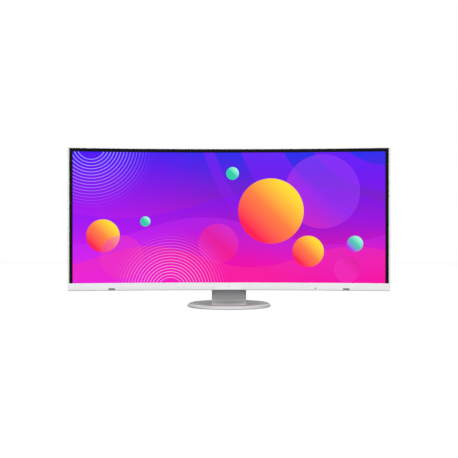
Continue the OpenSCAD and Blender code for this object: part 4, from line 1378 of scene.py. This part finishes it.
@dataclass
class Sockets(Assembly):
    """The fine metal parts in the sockets, and the marks on the mains switch."""

    length: float = 4.5 * MM
    recess: float = 1.6 * MM
    thickness: float = 0.12 * MM
    sunk: float = 0.02 * MM
    plan: tuple[Contacts, ...] = (
        Contacts(("hdmi_1", "hdmi_2"), 9, 1.0 * MM, 0.5 * MM, 0.6 * MM),
        Contacts(("displayport",), 10, 1.0 * MM, 0.5 * MM, 0.7 * MM),
        Contacts(("usb_c",), 10, 0.5 * MM, 0.28 * MM, 0.35 * MM),
        Contacts(("usb_a_1", "usb_a_2"), 4, 2.4 * MM, 1.2 * MM, 0.8 * MM, Row.ONE, 1.3 * MM),
        Contacts(("network",), 8, 1.02 * MM, 0.5 * MM, 4.6 * MM, Row.ONE),
    )
    lamp_spread: float = 5.4 * MM
    lamp_low: Point = (-1.3 * MM, 0.3 * MM, -0.15 * MM)
    lamp_high: Point = (1.3 * MM, 1.5 * MM, 0.6 * MM)
    lamp_edge: float = 0.15 * MM
    collar: tuple[Spot, ...] = (
        (1.85 * MM, 0.6 * MM), (1.85 * MM, -0.1 * MM), (2.1 * MM, -0.3 * MM), (2.8 * MM, -0.3 * MM),
        (3.0 * MM, 0.1 * MM),
    )
    rocker_rise: float = 1.8 * MM
    mark_proud: float = 0.12 * MM
    mark_root: float = 0.1 * MM
    mark_edge: float = 0.05 * MM
    bar_half: Spot = (0.35 * MM, 2.2 * MM)
    ring_radii: Spot = (1.2 * MM, 1.8 * MM)
    inlet_edge: float = 0.4 * MM
    rocker_edge: float = 0.3 * MM

    def _contacts(self) -> None:
        """Lays gilt contacts on the sockets' tongues."""
        shape = Shape()
        for kind in self.plan:
            half = kind.width / 2
            for name in kind.mounts:
                place = Vector(self.finishes.mounts[name]["pos_m"])
                low = place.z + self.recess
                for index in range(kind.count):
                    x = place.x + (index - (kind.count - 1) / 2) * kind.pitch
                    for side in kind.row.value:
                        face = place.y + kind.shift + side * kind.offset
                        near, far = sorted((face - side * self.sunk, face + side * self.thickness))
                        shape.box((x - half, near, low), (x + half, far, low + self.length))
        self.finishes.add("socket_contacts", shape, Body.HEAD, "inlet_pins", SOCKET_GOLD)

    def _network_lamps(self) -> None:
        """Sets two small lamps in the network socket's lip."""
        centre = self.finishes.mounts["network"]["pos_m"][0]
        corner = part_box("network_socket")[0]
        low, high = Vector(self.lamp_low), Vector(self.lamp_high)
        for side, where, finish in ((-1.0, "left", GREEN_LAMP), (1.0, "right", AMBER_LAMP)):
            seat = Vector((centre + side * self.lamp_spread, corner.y, corner.z))
            shape = Shape().box(seat + low, seat + high, self.lamp_edge)
            self.finishes.add("network_lamp_" + where, shape, Body.HEAD, "network_socket", finish)

    def _collar(self) -> None:
        """Puts a plated collar round the headphone socket."""
        low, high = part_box("headphone_socket")
        centre = ((low.x + high.x) / 2, (low.y + high.y) / 2, low.z)
        shape = Shape().ring(self.collar, centre, Axis.Z, steps=48)
        self.finishes.add("headphone_collar", shape, Body.HEAD, "inlet_pins", ZINC_SCREW)

    def _marks(self) -> None:
        """Raises the on and off marks on the rocker's two slopes."""
        low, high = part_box("power_rocker")
        centre, half = (low + high) / 2, (high.x - low.x) / 2
        (across, along), (inner, outer) = self.bar_half, self.ring_radii
        top, root = -self.mark_proud, self.mark_root
        bar = Shape().box((-across, -along, top), (across, along, root), self.mark_edge)
        outline = [(inner, root), (inner, top), (outer, top), (outer, root)]
        circle = Shape().ring(outline, (0.0, 0.0, 0.0), Axis.Z, steps=36)
        lean, height = math.atan2(self.rocker_rise, half), low.z + self.rocker_rise / 2
        for side, state, shape in ((-1.0, "on", bar), (1.0, "off", circle)):
            turn = Matrix.Rotation(side * lean, 4, "Y")
            move = Matrix.Translation((centre.x + side * half / 2, centre.y, height))
            bmesh.ops.transform(shape.mesh, matrix=move @ turn, verts=shape.mesh.verts)
            self.finishes.add("rocker_mark_" + state, shape, Body.SWITCH, "power_rocker", MARK_PAINT)

    def build(self) -> None:
        """Builds the fine parts, and rounds the inlet and the switch."""
        self._contacts()
        self._network_lamps()
        self._collar()
        self._marks()
        self.finishes.soften("mains_inlet", BLACK_PLASTIC, self.inlet_edge)
        self.finishes.soften("rocker_frame", BLACK_PLASTIC, self.inlet_edge)
        self.finishes.soften("power_rocker", ROCKER_PLASTIC, self.rocker_edge)


@dataclass
class Hinge(Assembly):
    """The quick release and the tilt hinge."""

    insert_outer: float = 3.6 * MM
    insert_proud: float = 0.25 * MM
    insert_side: float = 0.1 * MM
    insert_deep: float = 0.3 * MM
    insert_slopes: Spot = (0.3 * MM, 0.2 * MM)
    insert_steps: int = 40
    rib_half: Spot = (6.5 * MM, 0.3 * MM)
    rib_pitch: float = 1.4 * MM
    rib_edge: float = 0.15 * MM
    rib_sunk: float = 0.1 * MM
    rib_proud: float = 0.35 * MM
    plate_edge: float = 0.6 * MM
    button_edge: float = 0.5 * MM
    bracket_edge: float = 0.3 * MM

    def _inserts(self) -> None:
        """Puts a flanged threaded insert round each mounting hole."""
        mount = self.finishes.mounts["wall_mount"]
        dims, (x, _, z) = mount["dims"], mount["pos_m"]
        bore, outer, proud = dims["hole_r_mm"] * MM, self.insert_outer, self.insert_proud
        inner_slope, outer_slope = self.insert_slopes
        outline = [
            (bore, -self.insert_deep), (bore, self.insert_side), (bore + inner_slope, proud),
            (outer - outer_slope, proud), (outer, self.insert_side), (outer, -self.insert_deep),
        ]
        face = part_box("mounting_plate")[1].y
        shape = Shape()
        for right in (-0.5, 0.5):
            for up in (-0.5, 0.5):
                across, above = right * dims["spacing_x_mm"] * MM, up * dims["spacing_y_mm"] * MM
                shape.ring(outline, (x + across, face, z + above), Axis.Y, self.insert_steps)
        self.finishes.add("mount_inserts", shape, Body.HEAD, "inlet_pins", BRASS)

    def _ribs(self) -> None:
        """Raises grip ribs on the release button."""
        low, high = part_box("release_button")
        across, up = self.rib_half
        near, far = high.y - self.rib_sunk, high.y + self.rib_proud
        shape = Shape()
        for index in (-1, 0, 1):
            z = (low.z + high.z) / 2 + index * self.rib_pitch
            shape.box((-across, near, z - up), (across, far, z + up), self.rib_edge)
        self.finishes.add("button_ribs", shape, Body.RELEASE, "release_button", BUTTON_PLASTIC)

    def build(self) -> None:
        """Builds and dresses the hinge."""
        self._inserts()
        self._ribs()
        self.finishes.soften("release_plate", STAND_PAINT, self.plate_edge)
        self.finishes.soften("release_button", BUTTON_PLASTIC, self.button_edge)
        self.finishes.soften("hinge_bracket", BRACKET_PAINT, self.bracket_edge)
        self.finishes.dress({
            "release_latch": PLATE_STEEL, "tilt_shaft": SHAFT_STEEL, "tilt_washers": BRONZE,
            "tilt_nuts": ZINC_SCREW,
        })


@dataclass
class Lift(Assembly):
    """The mast, the column and the springs and rails between them."""

    edge_radius: float = 0.5 * MM
    spring_blue: Colour = (0.5, 0.52, 0.56)

    def build(self) -> None:
        """Builds and dresses the lift."""
        low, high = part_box("lift_spring_coils")
        centre = ((low.y + high.y) / 2, (low.z + high.z) / 2)
        wound = WoundSpring("wound_spring", self.spring_blue, centre)
        for node in ("mast_cover", "column_front_cover", "column_rear_cover", "column_cap"):
            self.finishes.soften(node, STAND_PAINT, self.edge_radius)
        self.finishes.soften("cable_holder", HOLDER_PLASTIC, self.edge_radius)
        self._strips()
        self.finishes.dress({
            "mast_frame": PLATE_STEEL, "carriage_blocks": SLIDER_PLASTIC, "mast_screws": ZINC_SCREW,
            "lift_spring_coils": wound, "guide_rails": BRIGHT_STEEL, "column_frame": PLATE_STEEL,
            "holder_screws": ZINC_SCREW,
        })

    def _strips(self) -> None:
        """Makes the spring strips as a piece with a mesh of its own, riding on the stand, where it stays
        as the mast rises.
        """
        strips = self.finishes.soften(
            "lift_spring_strips", BRIGHT_STEEL, 0.0, keep=lambda edge: False, body=Body.STAND,
        )
        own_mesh(strips)


@dataclass
class Base(Assembly):
    """The round base with its foot, weight, turntable and rubber feet."""

    ring_width: float = 6.4 * MM
    seam_radius: float = 85.0 * MM
    seam_half: float = 0.7 * MM
    seam_edge: float = 0.3 * MM
    seam_heights: Point = (-0.2 * MM, 0.1 * MM, 0.25 * MM)
    seam_steps: int = 128
    cover_edge: float = 0.4 * MM
    foot_radius: float = 9.0 * MM
    foot_edge: float = 0.4 * MM
    foot_hole: Spot = (1.4 * MM, 1.7 * MM)
    foot_count: int = 6
    foot_steps: int = 40
    grooves: tuple[Spot, ...] = ((3.6 * MM, 4.6 * MM), (6.0 * MM, 7.0 * MM))
    groove_depth: float = 0.5 * MM
    # Painted shade and painted light: the top's darker grey stands for the display's shade and the
    # ring's brighter silver for the front light; the ring's slight green offsets the picture's pink
    # light on it.
    top_painted_shade: Colour = (0.37, 0.374, 0.376)
    ring_painted_light: Colour = (0.77, 0.80, 0.785)
    # The foot's paler colours are painted light, lightest in the nook by the column, against the
    # display's and the column's shade.
    nook_painted_light: Colour = (0.78, 0.785, 0.79)
    toe_painted_light: Colour = (0.62, 0.625, 0.63)
    painted_light_heights: Spot = (10.0 * MM, 2.0 * MM)
    sweep_edge: float = 0.3 * MM
    toe_from: float = -10.0 * MM

    def _swivel_seam(self, top: float) -> None:
        """Lays the fine dark bead round the middle of the base's top.

        Args:
            top: The height of the base's top.
        """
        inner, outer = self.seam_radius - self.seam_half, self.seam_radius + self.seam_half
        root, side, crown = self.seam_heights
        outline = [
            (inner, root), (outer, root), (outer, side), (outer - self.seam_edge, crown),
            (inner + self.seam_edge, crown), (inner, side),
        ]
        shape = Shape().ring(outline, (0.0, 0.0, top), Axis.Z, self.seam_steps)
        self.finishes.add("swivel_seam", shape, Body.STAND, "base_cover", SEAM_PLASTIC)

    def _feet(self) -> None:
        """Makes the rubber feet, each with two grooves round its face."""
        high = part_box("rubber_feet")[1]
        spread, radius, edge = high.y - self.foot_radius, self.foot_radius, self.foot_edge
        hole, mouth = self.foot_hole
        outline = [(hole, high.z), (hole, mouth - hole), (mouth, 0.0)]
        deep = self.groove_depth
        for inner, outer in self.grooves:
            outline += [(inner, 0.0), (inner, deep), (outer, deep), (outer, 0.0)]
        outline += [(radius - edge, 0.0), (radius, edge), (radius, high.z)]
        shape = Shape()
        for index in range(self.foot_count):
            angle = (index + 0.5) * TURN / self.foot_count
            centre = (spread * math.cos(angle), spread * math.sin(angle), 0.0)
            shape.ring(outline, centre, Axis.Z, self.foot_steps)
        self.finishes.add("grooved_feet", shape, Body.TURNTABLE, "rubber_feet", RUBBER, ["rubber_feet"])

    def build(self) -> None:
        """Builds and dresses the base."""
        low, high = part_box("base_cover")
        ring_from = (high.x - low.x) / 2 - self.ring_width
        heights = tuple(high.z + height for height in self.painted_light_heights)
        toe_reach = (self.toe_from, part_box("foot_cover")[0].y)
        # The base's paint holds painted shade on its top and painted light on its ring.
        paint = BasePaint("base_paint_with_painted_light_and_shade", self.top_painted_shade, ring=self.ring_painted_light, ring_from=ring_from)
        # The foot's paint lightens the nook and the toe: painted light.
        foot = FootPaint(
            "foot_paint_with_painted_light", STAND_PAINT.colour, lower=self.nook_painted_light, toe=self.toe_painted_light,
            heights=heights, toe_reach=toe_reach,
        )
        self.finishes.soften("base_cover", paint, self.cover_edge)
        self.finishes.soften("foot_cover", foot, self.sweep_edge)
        self._swivel_seam(high.z)
        self.finishes.dress({
            "base_weight": PLATE_STEEL, "glide_ring": SLIDER_PLASTIC,
            "turntable_plate": PLATE_STEEL,
        })
        self._feet()


@dataclass(frozen=True)
class Softbox:
    """A soft rectangular lamp, with its size in metres and its power in watts."""

    name: str
    place: Point
    target: Point
    size: Spot
    power: float

    def light(self) -> None:
        """Puts the lamp in the scene."""
        data = bpy.data.lights.new(self.name, "AREA")
        data.shape = "RECTANGLE"
        data.size, data.size_y = self.size
        data.energy = self.power
        lamp = enter(self.name, data)
        lamp.location = self.place
        way = Vector(self.target) - Vector(self.place)
        lamp.rotation_euler = way.to_track_quat("-Z", "Y").to_euler()


@dataclass
class Studio:
    """The floor, the lamps, the sky and the camera."""

    eye: Point = (0.0, -2.685, 0.2255)
    lens: float = 72.7
    sensor: float = 36.0
    view_end: float = 60.0
    sky_front: float = 0.42
    sky_rear: float = 0.55
    sky_side: float = 0.18
    sky_middle: float = 0.2
    floor_half: float = 4.0
    floor_grey: Colour = (0.12, 0.12, 0.12)
    floor_glow: float = 0.94
    lamps: tuple[Softbox, ...] = (
        Softbox("low_softbox", (0.0, -3.3, 0.62), (0.0, 0.0, 0.1), (2.2, 0.8), 52.0),
        Softbox("high_softbox", (0.0, -2.4, 1.5), (0.0, 0.0, 0.1), (1.8, 1.2), 26.0),
        Softbox("rear_softbox", (0.0, 1.8, 2.3), (0.0, 0.0, 0.2), (1.8, 1.2), 38.0),
    )

    def build(self) -> None:
        """Builds the studio."""
        bpy.context.scene.view_settings.view_transform = "Standard"
        self._camera()
        self._sky()
        self._floor()
        for lamp in self.lamps:
            lamp.light()

    def _camera(self) -> None:
        """Sets the camera level at the height of the picture's middle."""
        data = bpy.data.cameras.new("camera")
        data.lens = self.lens
        data.sensor_width = self.sensor
        data.clip_end = self.view_end
        camera = enter("camera", data)
        camera.location = self.eye
        camera.rotation_euler = (math.radians(90.0), 0.0, 0.0)
        bpy.context.scene.camera = camera

    def _sky(self) -> None:
        """Lights all sides softly, and shows white to the camera and through clear parts."""
        world = bpy.data.worlds.new("sky")
        bpy.context.scene.world = world
        n = Nodes(world, "OutputWorld", "Generated")
        front, rear = (
            n.step(n.axes[1], way * self.sky_middle, way, least=self.sky_side, most=most)
            for way, most in ((-1.0, self.sky_front), (1.0, self.sky_rear))
        )
        glow = n.put("Background", {"Color": WHITE, "Strength": n.math("MAXIMUM", front, rear)})
        white = n.put("Background", {"Color": WHITE})
        shown = {0: n.seen("Transmission"), 1: glow.outputs[0], 2: white.outputs[0]}
        n.end(n.put("MixShader", shown))

    def _floor(self) -> None:
        """Lays a wide pale floor that keeps a light shadow."""
        mesh = bmesh.new()
        bmesh.ops.create_grid(mesh, x_segments=1, y_segments=1, size=self.floor_half)
        data = bpy.data.meshes.new("floor")
        mesh.to_mesh(data)
        mesh.free()
        floor = enter("floor", data)
        n = writer("floor_white")
        diffuse = n.put("BsdfDiffuse", {"Color": self.floor_grey})
        seen = n.seen("Glossy", "Transmission")
        glow = n.put("Emission", {"Strength": n.times(seen, self.floor_glow)})
        n.end(n.put("AddShader", {0: diffuse.outputs[0], 1: glow.outputs[0]}))
        data.materials.append(n.owner)


def main() -> None:
    """Builds the monitor's looks and its studio, in order."""
    logging.basicConfig(level=logging.INFO, format="%(name)s %(message)s")
    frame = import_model()
    Studio().build()
    finishes = Finishes(frame)
    for kind in (Display, Bezel, Cabinet, Sockets, Hinge, Lift, Base):
        LOG.info("building %s", kind.__name__)
        kind(finishes).build()


if __name__ == "__main__":
    main()
